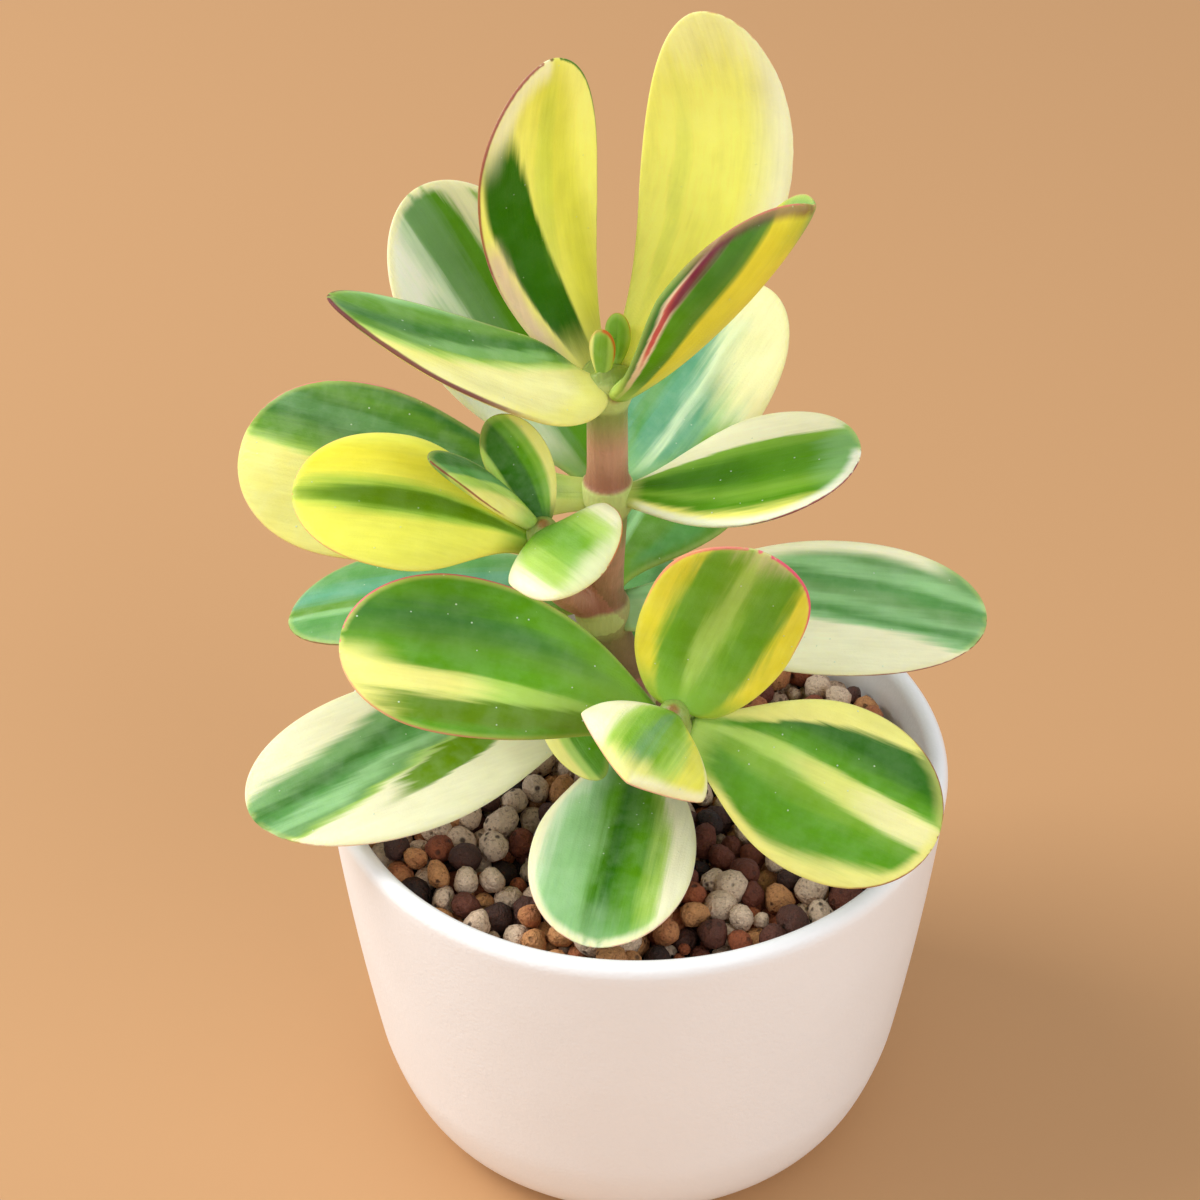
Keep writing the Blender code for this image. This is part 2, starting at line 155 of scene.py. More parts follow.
class Wire:
    """A value in a node tree. Reckoning with it adds a Math node for each step."""

    __add__ = __radd__ = arithmetic("ADD")
    __sub__ = arithmetic("SUBTRACT")
    __rsub__ = arithmetic("SUBTRACT", swapped=True)
    __mul__ = arithmetic("MULTIPLY")
    __truediv__ = arithmetic("DIVIDE")
    __pow__ = arithmetic("POWER")

    def __init__(self, graph: Graph, socket: bpy.types.NodeSocket) -> None:
        """Holds an output socket and the graph that it is in."""
        self.graph = graph
        self.socket = socket

    def __abs__(self) -> Wire:
        """The distance from 0."""
        return self.graph.math("ABSOLUTE", self)


Value = Wire | Tint | float


class Graph:
    """Adds and joins the nodes of one node tree."""

    def __init__(self, tree: bpy.types.NodeTree) -> None:
        """Starts on a tree, which keeps what it already has."""
        self.tree = tree

    def add(self, kind: str, **settings: object) -> bpy.types.Node:
        """Adds a shader node.

        Args:
            kind: The node's type name, without the ShaderNode in front.
            settings: Values for the node's own properties.

        Returns:
            The new node.
        """
        node = self.tree.nodes.new("ShaderNode" + kind)
        for name, value in settings.items():
            setattr(node, name, value)
        return node

    def feed(self, socket: bpy.types.NodeSocket, value: Value) -> None:
        """Links a wire to an input, or sets the input to a plain value."""
        if isinstance(value, Wire):
            self.tree.links.new(value.socket, socket)
        else:
            socket.default_value = value.linear if isinstance(value, Tint) else value

    def result(self, node: bpy.types.Node, values: tuple, output: int | str = 0) -> Wire:
        """Feeds a node's first inputs in order and returns one of its outputs."""
        for socket, value in zip(node.inputs, values):
            self.feed(socket, value)
        return Wire(self, node.outputs[output])

    def math(self, operation: str, *values: Value) -> Wire:
        """Adds a Math node and returns its result."""
        return self.result(self.add("Math", operation=operation), values)

    def step(self, value: Value, low: Value, high: Value) -> Wire:
        """Returns a smooth rise from 0 where value is low to 1 where it is high."""
        return self.result(self.add("MapRange", interpolation_type="SMOOTHSTEP"), (value, low, high))

    def mix(self, share: Value, first: Value, second: Value, blend: str = "MIX") -> Wire:
        """Returns the first colour blended towards the second by share."""
        node = self.add("Mix", data_type="RGBA", blend_type=blend)
        for socket, value in zip((node.inputs["Factor"], *node.inputs[6:8]), (share, first, second)):
            self.feed(socket, value)
        return Wire(self, node.outputs[2])

    def shaded(self, colour: Value, shade: Wire) -> Wire:
        """Returns a colour times a shade of grey."""
        return self.mix(1.0, colour, self.join(shade, shade, shade), "MULTIPLY")

    def noise(self, place: Wire, scale: float, detail: float = 2.0, rough: float = 0.5) -> Wire:
        """Returns noise from 0 to 1 at a place."""
        node = self.add("TexNoise")
        for name, value in (("Vector", place), ("Scale", scale), ("Detail", detail), ("Roughness", rough)):
            self.feed(node.inputs[name], value)
        return Wire(self, node.outputs["Fac"])

    def cells(self, place: Wire, scale: float) -> tuple[Wire, Wire]:
        """Returns the distance to the nearest of many scattered points, and a number drawn for it."""
        node = self.add("TexVoronoi", feature="F1")
        self.feed(node.inputs["Vector"], place)
        self.feed(node.inputs["Scale"], scale)
        return Wire(self, node.outputs["Distance"]), self.split(Wire(self, node.outputs["Color"]))[0]

    def ramp(self, value: Wire, stops: tuple[tuple[float, Tint], ...]) -> Wire:
        """Returns a colour that runs through two or more stops as value goes from 0 to 1."""
        node = self.add("ValToRGB")
        elements = node.color_ramp.elements
        while len(elements) < len(stops):
            elements.new(1.0)
        for element, (position, tint) in zip(elements, stops):
            element.position = position
            element.color = tint.linear
        return self.result(node, (value,))

    def split(self, vector: Wire) -> tuple[Wire, ...]:
        """Returns the three parts of a vector."""
        node = self.add("SeparateXYZ")
        self.feed(node.inputs[0], vector)
        return tuple(Wire(self, socket) for socket in node.outputs)

    def join(self, *parts: Value) -> Wire:
        """Returns a vector made of three parts."""
        return self.result(self.add("CombineXYZ"), parts)

    def stored(self, name: str, output: str = "Fac") -> Wire:
        """Reads a mesh attribute."""
        return self.result(self.add("Attribute", attribute_name=name), (), output)

    def stored_parts(self, name: str) -> tuple[Wire, ...]:
        """Reads the three parts of a mesh attribute."""
        return self.split(self.stored(name, "Vector"))

    def group(self, tree: bpy.types.NodeTree, **values: Value) -> dict[str, Wire]:
        """Places a node group, feeds its inputs by name, with _ for a space, and returns its outputs."""
        node = self.add("Group", node_tree=tree)
        for name, value in values.items():
            self.feed(node.inputs[name.replace("_", " ")], value)
        return {socket.name: Wire(self, socket) for socket in node.outputs}


class Group(Graph):
    """The graph of a shader group, whose inputs are the wires in given, in order."""

    def __init__(self, name: str, **inputs: Tint | float) -> None:
        """Starts the group from its inputs' names, with _ for a space, and their defaults."""
        super().__init__(bpy.data.node_groups.new(name, "ShaderNodeTree"))
        for label, default in inputs.items():
            kind = "Color" if isinstance(default, Tint) else "Float"
            self.feed(self.declare(label.replace("_", " "), "INPUT", kind), default)
        entry = self.tree.nodes.new("NodeGroupInput")
        self.given = [Wire(self, entry.outputs[index]) for index in range(len(inputs))]

    def declare(self, label: str, side: str, kind: str) -> bpy.types.NodeTreeInterfaceSocket:
        """Adds a socket to the group's interface."""
        return self.tree.interface.new_socket(label, in_out=side, socket_type="NodeSocket" + kind)

    def close(self, **results: Wire) -> bpy.types.NodeTree:
        """Ends the group with its results by name and returns its tree."""
        for label in results:
            self.declare(label, "OUTPUT", "Color" if label == "Colour" else "Float")
        leave = self.tree.nodes.new("NodeGroupOutput")
        for label, wire in results.items():
            self.feed(leave.inputs[label], wire)
        return self.tree


class Surface(Graph):
    """The graph of one material, with its Principled shader's inputs."""

    def __init__(self, name: str) -> None:
        """Starts the material."""
        self.material = bpy.data.materials.new(name)
        self.material.use_nodes = True
        super().__init__(self.material.node_tree)
        self.inputs = self.tree.nodes["Principled BSDF"].inputs

    def place(self) -> Wire:
        """Returns the place on the piece, in metres."""
        return Wire(self, self.add("TexCoord").outputs["Object"])

    def dress(self, colour: Value, rough: Value, relief: tuple[Wire, float] | None = None,
              **fixed: float | Point) -> bpy.types.Material:
        """Joins what changes over the surface to the shader and sets its fixed values.

        Args:
            colour: The base colour.
            rough: The roughness.
            relief: A height from 0 to 1, and the metres from its lowest to its highest.
            fixed: Values of the shader's own inputs by name, with _ for a space.

        Returns:
            The material.
        """
        self.feed(self.inputs["Base Color"], colour)
        self.feed(self.inputs["Roughness"], rough)
        for name, value in fixed.items():
            self.inputs[name.replace("_", " ")].default_value = value
        if relief:
            bump = self.add("Bump")
            self.feed(bump.inputs["Height"], relief[0])
            bump.inputs["Distance"].default_value = relief[1]
            self.feed(self.inputs["Normal"], Wire(self, bump.outputs[0]))
        return self.material


# Meshes from arrays

def new_object(name: str, data: bpy.types.ID) -> bpy.types.Object:
    """Puts an object with its data into the scene."""
    made = bpy.data.objects.new(name, data)
    bpy.context.scene.collection.objects.link(made)
    return made


class Slot(Enum):
    """The record's material slots."""

    POT = "pot_ceramic"
    PELLETS = "pellets"
    STEM = "stem_skin"
    GREEN = "leaf_green"
    BLUE_GREEN = "leaf_blue_green"
    YELLOW = "leaf_yellow"
    CREAM = "leaf_cream"


def make_piece(name: str, points: np.ndarray, faces: list[np.ndarray]) -> bpy.types.Object:
    """Makes a smooth mesh piece that rides on the root body.

    The faces are turned round together if the volume that they enclose, the sum of the fans'
    triple products, is negative, so that they point outwards.

    Args:
        name: The piece's name.
        points: Its points in millimetres, one row each.
        faces: Arrays of corner indices, one row for each face.

    Returns:
        The new object.
    """
    places = points * MM
    volume = 0.0
    for block in faces:
        first = places[block[:, 0]]
        for corner in range(1, block.shape[1] - 1):
            second, third = places[block[:, corner]], places[block[:, corner + 1]]
            volume += float(np.einsum("ij,ij->i", first, np.cross(second, third)).sum())
    if volume < 0:
        faces = [block[:, ::-1] for block in faces]
    mesh = bpy.data.meshes.new(name)
    mesh.from_pydata(places.tolist(), [], [row for block in faces for row in block.tolist()])
    return adopt(name, mesh)


def adopt(name: str, mesh: bpy.types.Mesh) -> bpy.types.Object:
    """Puts a mesh into the scene as a smooth piece on the root body."""
    mesh.polygons.foreach_set("use_smooth", np.ones(len(mesh.polygons), dtype=bool))
    mesh.update()
    piece = new_object(name, mesh)
    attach(piece, BODY)
    return piece


def set_attribute(mesh: bpy.types.Mesh, name: str, values: np.ndarray) -> None:
    """Stores one number or one vector for each point of a mesh."""
    kind, key = ("FLOAT", "value") if values.ndim == 1 else ("FLOAT_VECTOR", "vector")
    attribute = mesh.attributes.new(name, kind, "POINT")
    attribute.data.foreach_set(key, np.ascontiguousarray(values, dtype=np.float32).ravel())


def tube_faces(rings: int, sides: int) -> list[np.ndarray]:
    """Returns the faces of a closed tube.

    Quads join ring after ring of points, and a fan of triangles closes each end on one point: the
    point after the last ring closes the first end, and the one after that the other.

    Args:
        rings: How many rings of points there are.
        sides: How many points each ring has.

    Returns:
        The quads and the two fans.
    """
    ring = np.arange(rings - 1)[:, None] * sides
    side = np.arange(sides)[None, :]
    turn = (side + 1) % sides
    quads = np.stack([ring + side, ring + turn, ring + sides + turn, ring + sides + side], axis=-1)
    near, far = rings * sides, rings * sides + 1
    last = (rings - 1) * sides
    foot = np.stack([turn[0], side[0], np.full(sides, near)], axis=-1)
    head = np.stack([last + side[0], last + turn[0], np.full(sides, far)], axis=-1)
    return [quads.reshape(-1, 4), foot, head]


def full_turn(count: int) -> np.ndarray:
    """Pair evenly spread over a full turn, without its end."""
    return np.linspace(0, 2 * np.pi, count, endpoint=False)


def direction(heading: float, lift: float) -> np.ndarray:
    """The unit vector at a heading, counted from +X towards +Y, and a lift above level, in degrees."""
    turn, rise = np.radians(heading), np.radians(lift)
    return np.array([np.cos(turn) * np.cos(rise), np.sin(turn) * np.cos(rise), np.sin(rise)])


def fade(value: np.ndarray, low: float, high: float) -> np.ndarray:
    """Goes smoothly from 0 where the value is low to 1 where it is high."""
    share = np.clip((value - low) / (high - low), 0, 1)
    return share * share * (3 - 2 * share)


def unit(vectors: np.ndarray) -> np.ndarray:
    """Vectors of length 1 along the last axis."""
    return vectors / np.linalg.norm(vectors, axis=-1, keepdims=True)


# Stem

class Joint(Enum):
    """Places on the stem from which leaves or shoots grow: x, y, z and the stem's radius."""

    CROWN = (-4.5, 1.0, 140.0, 3.0)
    CROWN_TOP = (-4.5, 0.8, 142.5, 0.4)
    UPPER = (-4.6, 3.0, 119.0, 3.2)
    MIDDLE = (-5.4, 6.0, 94.0, 3.5)
    LOWER = (-1.0, 8.5, 77.0, 3.7)
    ROOT = (0.5, 9.2, 70.3, 3.8)
    LEFT_FORK = (-14.0, -8.6, 118.0, 1.9)
    LEFT_TIP = (-14.0, -9.0, 120.5, 1.9)
    FRONT_FORK = (5.3, -26.0, 96.5, 2.1)
    FRONT_TIP = (5.2, -27.2, 100.3, 1.9)

    @property
    def is_tip(self) -> bool:
        """Whether a shoot ends here, so that no collar goes round it."""
        return self in (Joint.CROWN_TOP, Joint.LEFT_TIP, Joint.FRONT_TIP)


@dataclass
class Stem:
    """The grown stem: a main stem with a shoot to the left and one to the front."""

    main: tuple[Row, ...] = (
        (2.0, 10.0, 49.0, 3.9), (2.0, 10.0, 62.0, 3.9), Joint.LOWER.value, Joint.MIDDLE.value,
        Joint.UPPER.value, Joint.CROWN.value, (-4.5, 0.8, 142.5, 2.4),
    )
    left_shoot: tuple[Row, ...] = (
        (-5.4, 6.0, 94.0, 2.3), (-11.5, -1.0, 103.0, 2.2), (-13.8, -7.0, 113.0, 2.0),
        (-14.0, -8.8, 119.0, 1.9), (-14.0, -9.2, 122.0, 1.3),
    )
    front_shoot: tuple[Row, ...] = (
        (-1.0, 8.5, 77.0, 2.4), (1.5, -5.0, 79.0, 2.3), (4.2, -20.0, 83.5, 2.2),
        (5.3, -26.0, 96.5, 2.1), (5.2, -27.4, 101.8, 1.2),
    )
    oldest: Point = (1.0, 0.3, 0.4)
    swell: float = 0.9
    swell_reach: float = 2.4
    aside: Point = (0.35, 0.9, 0.2)
    steps: int = 16
    sides: int = 28
    voxel: float = 0.42
    smoothing: int = 6
    collar_step: float = 0.3
    scars: tuple[Point, ...] = ((-3.0, -2.8, 140.3), (5.2, -28.4, 102.2), (-14.0, -9.8, 122.8))
    scar_size: Pair = (1.5, 0.5)
    growing_tip: Pair = (0.06, 0.12)
    old_skin: Pair = (0.9, 0.6)
    collar_low: Pair = (-4.4, -2.4)
    collar_high: Pair = (2.7, 2.2)
    flush_low: Pair = (2.2, 2.6)
    flush_high: Pair = (9.0, 2.8)
    green_low: Pair = (-12.0, -4.0)
    green_high: Pair = (1.0, -1.0)
    relief: float = 0.00035

    def curve(self, route: tuple[Row, ...]) -> np.ndarray:
        """Returns points and radii along a route.

        A Catmull-Rom curve runs through the route's rows: each stretch is the cubic whose slope at
        a row is half the step from the row before it to the row after it.

        Args:
            route: Rows of x, y, z and radius.

        Returns:
            One row of x, y, z and radius for each point of the curve.
        """
        rows = np.array(route)
        rows = np.vstack([2 * rows[0] - rows[1], rows, 2 * rows[-1] - rows[-2]])
        share = np.linspace(0, 1, self.steps, endpoint=False)[:, None]
        parts = [
            0.5 * (2 * b + (c - a) * share + (2 * a - 5 * b + 4 * c - d) * share**2
                   + (3 * b - a - 3 * c + d) * share**3)
            for a, b, c, d in zip(rows[:-3], rows[1:-2], rows[2:-1], rows[3:])
        ]
        return np.vstack([*parts, rows[-2:-1]])

    def swollen(self, line: np.ndarray) -> np.ndarray:
        """Radii with the swelling at joints: a bell over the distance to the nearest joint."""
        joints = np.array([joint.value[:3] for joint in Joint])
        near = np.linalg.norm(line[:, None, :3] - joints[None], axis=-1).min(axis=1)
        return line[:, 3] + self.swell * np.exp(-((near / self.swell_reach) ** 2))

    def tube(self, route: tuple[Row, ...]) -> tuple[np.ndarray, list[np.ndarray]]:
        """Returns the points and faces of a tube along a route.

        Around each point of the curve lies a circle square to the curve, of the swollen radius, and
        the ends are domed by a last point half a radius beyond them.
        """
        line = self.curve(route)
        radius = self.swollen(line)
        along = unit(np.gradient(line[:, :3], axis=0))
        across = unit(np.cross(along, np.array(self.aside)))
        third = np.cross(along, across)
        turn = full_turn(self.sides)[None, :, None]
        ring = across[:, None] * np.cos(turn) + third[:, None] * np.sin(turn)
        skin = line[:, None, :3] + ring * radius[:, None, None]
        ends = [line[0, :3] - along[0] * radius[0] / 2, line[-1, :3] + along[-1] * radius[-1] / 2]
        points = np.vstack([skin.reshape(-1, 3), np.array(ends)])
        return points, tube_faces(len(line), self.sides)

    def build(self) -> bpy.types.Object:
        """Builds the stem as one closed skin: the tubes are fused by a voxel remesh and smoothed."""
        points: list[np.ndarray] = []
        faces: list[np.ndarray] = []
        count = 0
        for route in (self.main, self.left_shoot, self.front_shoot):
            tube, blocks = self.tube(route)
            points.append(tube)
            faces += [block + count for block in blocks]
            count += len(tube)
        rough = make_piece("stem_tubes", np.vstack(points), faces)
        fuse = rough.modifiers.new("fuse", "REMESH")
        fuse.mode = "VOXEL"
        fuse.voxel_size = self.voxel * MM
        rough.modifiers.new("ease", "SMOOTH").iterations = self.smoothing
        graph = bpy.context.evaluated_depsgraph_get()
        mesh = bpy.data.meshes.new_from_object(rough.evaluated_get(graph))
        bpy.data.objects.remove(rough)
        mesh.name = "stem"
        piece = adopt("plant_stem", mesh)
        self.mark(mesh)
        mesh.materials.clear()
        mesh.materials.append(self.finish())
        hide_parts("stem")
        return piece

    def mark(self, mesh: bpy.types.Mesh) -> None:
        """Stores how old the skin is and its marks, and raises the collars a little.

        Age falls evenly along each route, from the oldest at its start to 0 at its growing tip. The
        marks follow the height above the nearest joint: the pale collar round it, the flush above
        the collar, and the green under it. The scars are small brown spots round given places.
        """
        flat = np.empty(len(mesh.vertices) * 3)
        mesh.vertices.foreach_get("co", flat)
        skin = flat.reshape(-1, 3) / MM
        curves = [self.curve(route) for route in (self.main, self.left_shoot, self.front_shoot)]
        line = np.vstack(curves)[:, :3]
        ages = np.concatenate([np.linspace(old, 0, len(curve)) for old, curve in zip(self.oldest, curves)])
        nearest = np.linalg.norm(skin[:, None] - line[None], axis=-1).argmin(axis=1)
        age = ages[nearest]
        joints = np.array([joint.value[:3] for joint in Joint if not joint.is_tip])
        apart = skin[:, None] - joints[None]
        joint = np.linalg.norm(apart, axis=-1).argmin(axis=1)
        rise = apart[np.arange(len(skin)), joint, 2]
        settled = fade(age, *self.growing_tip)
        below_crown = joints[joint, 2] < Joint.CROWN.value[2]
        collar = fade(rise, *self.collar_low) * fade(rise, *self.collar_high) * settled
        flush = fade(rise, *self.flush_low) * fade(rise, *self.flush_high) * settled * below_crown
        green = fade(rise, *self.green_low) * fade(rise, *self.green_high)
        lift = collar * fade(age, *self.old_skin) * self.collar_step
        skin = skin + unit(skin - line[nearest]) * lift[:, None]
        mesh.vertices.foreach_set("co", (skin * MM).ravel())
        spots = [fade(np.linalg.norm(skin - place, axis=1), *self.scar_size) for place in self.scars]
        set_attribute(mesh, "stem_age", age)
        set_attribute(mesh, "stem_scar", np.max(spots, axis=0))
        set_attribute(mesh, "stem_marks", np.stack([collar, flush, green], axis=-1))

    def finish(self) -> bpy.types.Material:
        """Green young skin, ruddy internodes and brown old bark, with pale collars at the joints."""
        skin = Surface("stem_skin")
        place = skin.place()
        age = skin.stored("stem_age")
        collar, flush, green = skin.stored_parts("stem_marks")
        x, y, z = skin.split(place)
        streak = skin.noise(skin.join(x, y, z * 0.12), 1500, 3)
        patch = skin.noise(place, 260, 3)
        colour = skin.ramp(age + (patch - 0.5) * 0.25, (
            (0.0, Tint.SHOOT), (0.1, Tint.SHOOT), (0.2, Tint.RUDDY), (0.36, Tint.RUDDY),
            (0.5, Tint.BARK), (1.0, Tint.OLD_BARK)))
        young = skin.step(age, 0.62, 0.36)
        colour = skin.mix(green * young, colour, Tint.OLIVE_SHOOT)
        colour = skin.mix(collar * young, colour, Tint.COLLAR)
        colour = skin.mix(flush * (0.1 + young * 0.35), colour, Tint.NODE_LINE)
        colour = skin.mix(skin.stored("stem_scar") * 0.8, colour, Tint.SCAR)
        colour = skin.shaded(colour, 0.84 + streak * 0.32)
        height = streak * 0.6 + skin.noise(place, 1700, 4) * 0.4
        return skin.dress(
            colour, 0.4 + age * 0.3, (height, self.relief), Subsurface_Weight=0.15,
            Subsurface_Radius=(1.0, 0.5, 0.25), Subsurface_Scale=0.001)


# Leaves

@dataclass(frozen=True)
class Band:
    """A colour that starts at a place across the leaf and lasts to the next band.

    Lean is how far the start moves towards +1 from foot to tip; None takes the whole leaf's.
    """

    start: float
    tint: Tint
    edge: float = 0.10
    lean: float | None = None


@dataclass(frozen=True)
class Tongue:
    """A long patch of one colour with blunt ends; its lean is like a band's."""

    centre: float
    half_width: float
    foot: float
    head: float
    tint: Tint
    strength: float = 1.0
    edge: float = 0.30
    lean: float | None = None


@dataclass(frozen=True)
class Margin:
    """A strip of one colour along the leaf's outline, in millimetres, strong at either side."""

    tint: Tint
    minus: float = 1.0
    plus: float = 1.0
    width: float = 1.5
    start: float = -0.2
    end: float = 1.3


@dataclass(frozen=True)
class Rim:
    """The flushed edge of a leaf, with how strong it is at its two sides."""

    tint: Tint = Tint.CRIMSON
    minus: float = 0.5
    plus: float = 0.5
    start: float = 0.55
    width: float = 0.5
    plus_tint: Tint | None = None


@dataclass(frozen=True)
class Look:
    """What a leaf's skin shows.

    Bands run across the leaf from -1 to +1. Tongues and then margins lie over the bands.
    """

    bands: tuple[Band, ...]
    tongues: tuple[Tongue, ...] = ()
    margins: tuple[Margin, ...] = ()
    lean: float = 0.0
    wander: float = 0.22
    foot: Tint = Tint.FOOT_GREEN
    foot_reach: float = 0.22
    rim: Rim = Rim()
    bloom: float = 0.10
    dots: float = 0.6


class LeafGroups:
    """The shader groups that every leaf uses, each built once.

    They read two attributes. One holds the place across from -1 to +1, the place along from 0 to 1
    and the distance from the outline; the other the place on the leaf laid flat and a seed.
    """

    octaves: tuple[Point, ...] = ((0.10, 0.03, 1.1), (0.5, 0.05, 0.7), (1.5, 0.08, 0.45), (4.5, 0.2, 0.14))
    tongue_fray: float = 0.16
    tongue_softness: float = 0.45
    margin_fray: float = 0.7
    margin_fade: Pair = (1.7, 0.5)
    rim_fade: Pair = (2.4, 1.2)
    dot_size: Pair = (0.085, 0.04)

    def __init__(self) -> None:
        """Builds the groups."""
        self.stripes = self.build_stripes()
        self.band = self.build_band()
        self.tongue = self.build_tongue()
        self.margin = self.build_margin()
        self.skin = self.build_skin()

    def build_stripes(self) -> bpy.types.NodeTree:
        """Builds the group that gives the place across the leaf at which a point takes its colour.

        It is the stored place across plus noise drawn out along the leaf, which frays the edges of
        the bands. Each octave of the noise has its scale across, its scale along and its share.
        """
        graph = Group("leaf_stripes", Wander=0.2)
        across, _, _ = graph.stored_parts("leaf_place")
        side, reach, seed = graph.stored_parts("leaf_flat")
        total: Value = 0.0
        for scale_across, scale_along, share in self.octaves:
            place = graph.join(side * scale_across, reach * scale_along, seed)
            total = (graph.noise(place, 1.0, 2) - 0.5) * share + total
        return graph.close(Stripe=across + total * graph.given[0], Fray=total)

    def build_band(self) -> bpy.types.NodeTree:
        """Builds the group that masks what lies beyond a band's start."""
        graph = Group("leaf_band", Stripe=0.0, Start=0.0, Lean=0.0, Edge=0.05)
        stripe, start, lean, edge = graph.given
        _, along, _ = graph.stored_parts("leaf_place")
        start = start + (along - 0.5) * lean
        return graph.close(Mask=graph.step(stripe, start - edge, start + edge))

    def build_tongue(self) -> bpy.types.NodeTree:
        """Builds the group that masks a long patch.

        Its outline is where the square of the place across plus the fourth power of the place
        along, both counted from the patch's middle in half sizes, is 1. The place along is frayed
        and the outline is softer towards the ends, so that the patch runs out in strokes.
        """
        graph = Group("leaf_tongue", Stripe=0.0, Fray=0.0, Centre=0.0, Lean=0.0, Half_width=0.2,
                      Foot=0.2, Head=0.8, Edge=0.3)
        stripe, fray, centre, lean, half_width, foot, head, edge = graph.given
        _, along, _ = graph.stored_parts("leaf_place")
        beside = (stripe - (centre + (along - 0.5) * lean)) / half_width
        beyond = (along + fray * self.tongue_fray - (foot + head) * 0.5) / ((head - foot) * 0.5)
        far = abs(beyond) ** 4.0
        soft = edge + far * self.tongue_softness
        return graph.close(Mask=1.0 - graph.step(beside * beside + far, 1.0 - soft, 1.0 + soft))

    def build_margin(self) -> bpy.types.NodeTree:
        """Builds the group that masks a strip along the leaf's outline."""
        graph = Group("leaf_margin", Fray=0.0, Minus=1.0, Plus=1.0, Width=1.5, Start=0.0, End=1.0)
        fray, minus, plus, width, start, end = graph.given
        across, along, inset = graph.stored_parts("leaf_place")
        strength = minus + graph.step(across, -0.1, 0.1) * (plus - minus)
        outer, inner = self.margin_fade
        strip = graph.step(inset + fray * width * self.margin_fray, width * outer, width * inner)
        enter = graph.step(along, start, start + 0.2)
        leave = graph.step(along, end, end - 0.12)
        return graph.close(Mask=strength * strip * (enter * leave))

    def build_skin(self) -> bpy.types.NodeTree:
        """Builds the group that turns a band colour into living skin.

        It adds fine lengthwise streaks, soft mottling, the pale foot, a powdery bloom, scattered
        pale dots, a painted glow of light shining through the thin edge and the flushed rim.
        """
        graph = Group(
            "leaf_skin", Colour=Tint.LEAF_GREEN, Foot_colour=Tint.FOOT_GREEN, Foot_reach=0.22,
            Minus_colour=Tint.CRIMSON, Plus_colour=Tint.CRIMSON, Rim_minus=0.5, Rim_plus=0.5,
            Rim_start=0.5, Rim_width=0.5, Bloom=0.1, Dots=0.6)
        colour, foot_colour, foot_reach, minus_colour, plus_colour, *rim, bloom, dots = graph.given
        rim_minus, rim_plus, rim_start, rim_width = rim
        across, along, inset = graph.stored_parts("leaf_place")
        side, reach, seed = graph.stored_parts("leaf_flat")
        flat = graph.join(side, reach, seed)
        streak = graph.noise(graph.join(side * 1.6, reach * 0.12, seed), 1.0, 3, 0.6)
        mottle = graph.noise(flat, 0.28, 3, 0.55)
        cloud = graph.noise(graph.join(side * 0.22, reach * 0.09, seed), 1.0, 2)
        colour = graph.shaded(colour, 0.66 + streak * 0.18 + mottle * 0.12 + cloud * 0.38)
        foot = graph.step(along - streak * 0.06, foot_reach, 0.0)
        colour = graph.mix(foot * 0.85, colour, foot_colour)
        powder = graph.step(mottle, 0.3, 0.75) * bloom
        colour = graph.mix(powder, colour, Tint.BLOOM)
        near, lottery = graph.cells(flat, 0.5)
        dot = graph.step(near, *self.dot_size) * graph.step(lottery, 0.4, 0.45) * graph.step(along, 0.1, 0.3)
        colour = graph.mix(dot * dots, colour, Tint.BLOOM)
        # painted light: the outline is lightened towards butter yellow as a glow of light shining through the
        # thin edge
        colour = graph.mix(graph.step(inset, 1.1, 0.3) * 0.2, colour, Tint.BUTTER)
        right = graph.step(across, -0.15, 0.15)
        strength = rim_minus + right * (rim_plus - rim_minus)
        rise = graph.step(along + mottle * 0.2, rim_start, rim_start + 0.28)
        outer, inner = self.rim_fade
        edge = graph.step(inset + streak * 0.2, rim_width * outer, rim_width * inner)
        colour = graph.mix(strength * rise * edge, colour, graph.mix(right, minus_colour, plus_colour))
        rib = graph.step(abs(across), 0.0, 0.05)
        height = streak * 0.45 + graph.noise(flat, 3.2, 2) * 0.35 + rib * 0.15 + dot * 0.4
        return graph.close(Colour=colour, Roughness=0.34 + mottle * 0.12 + powder * 0.5, Height=height)


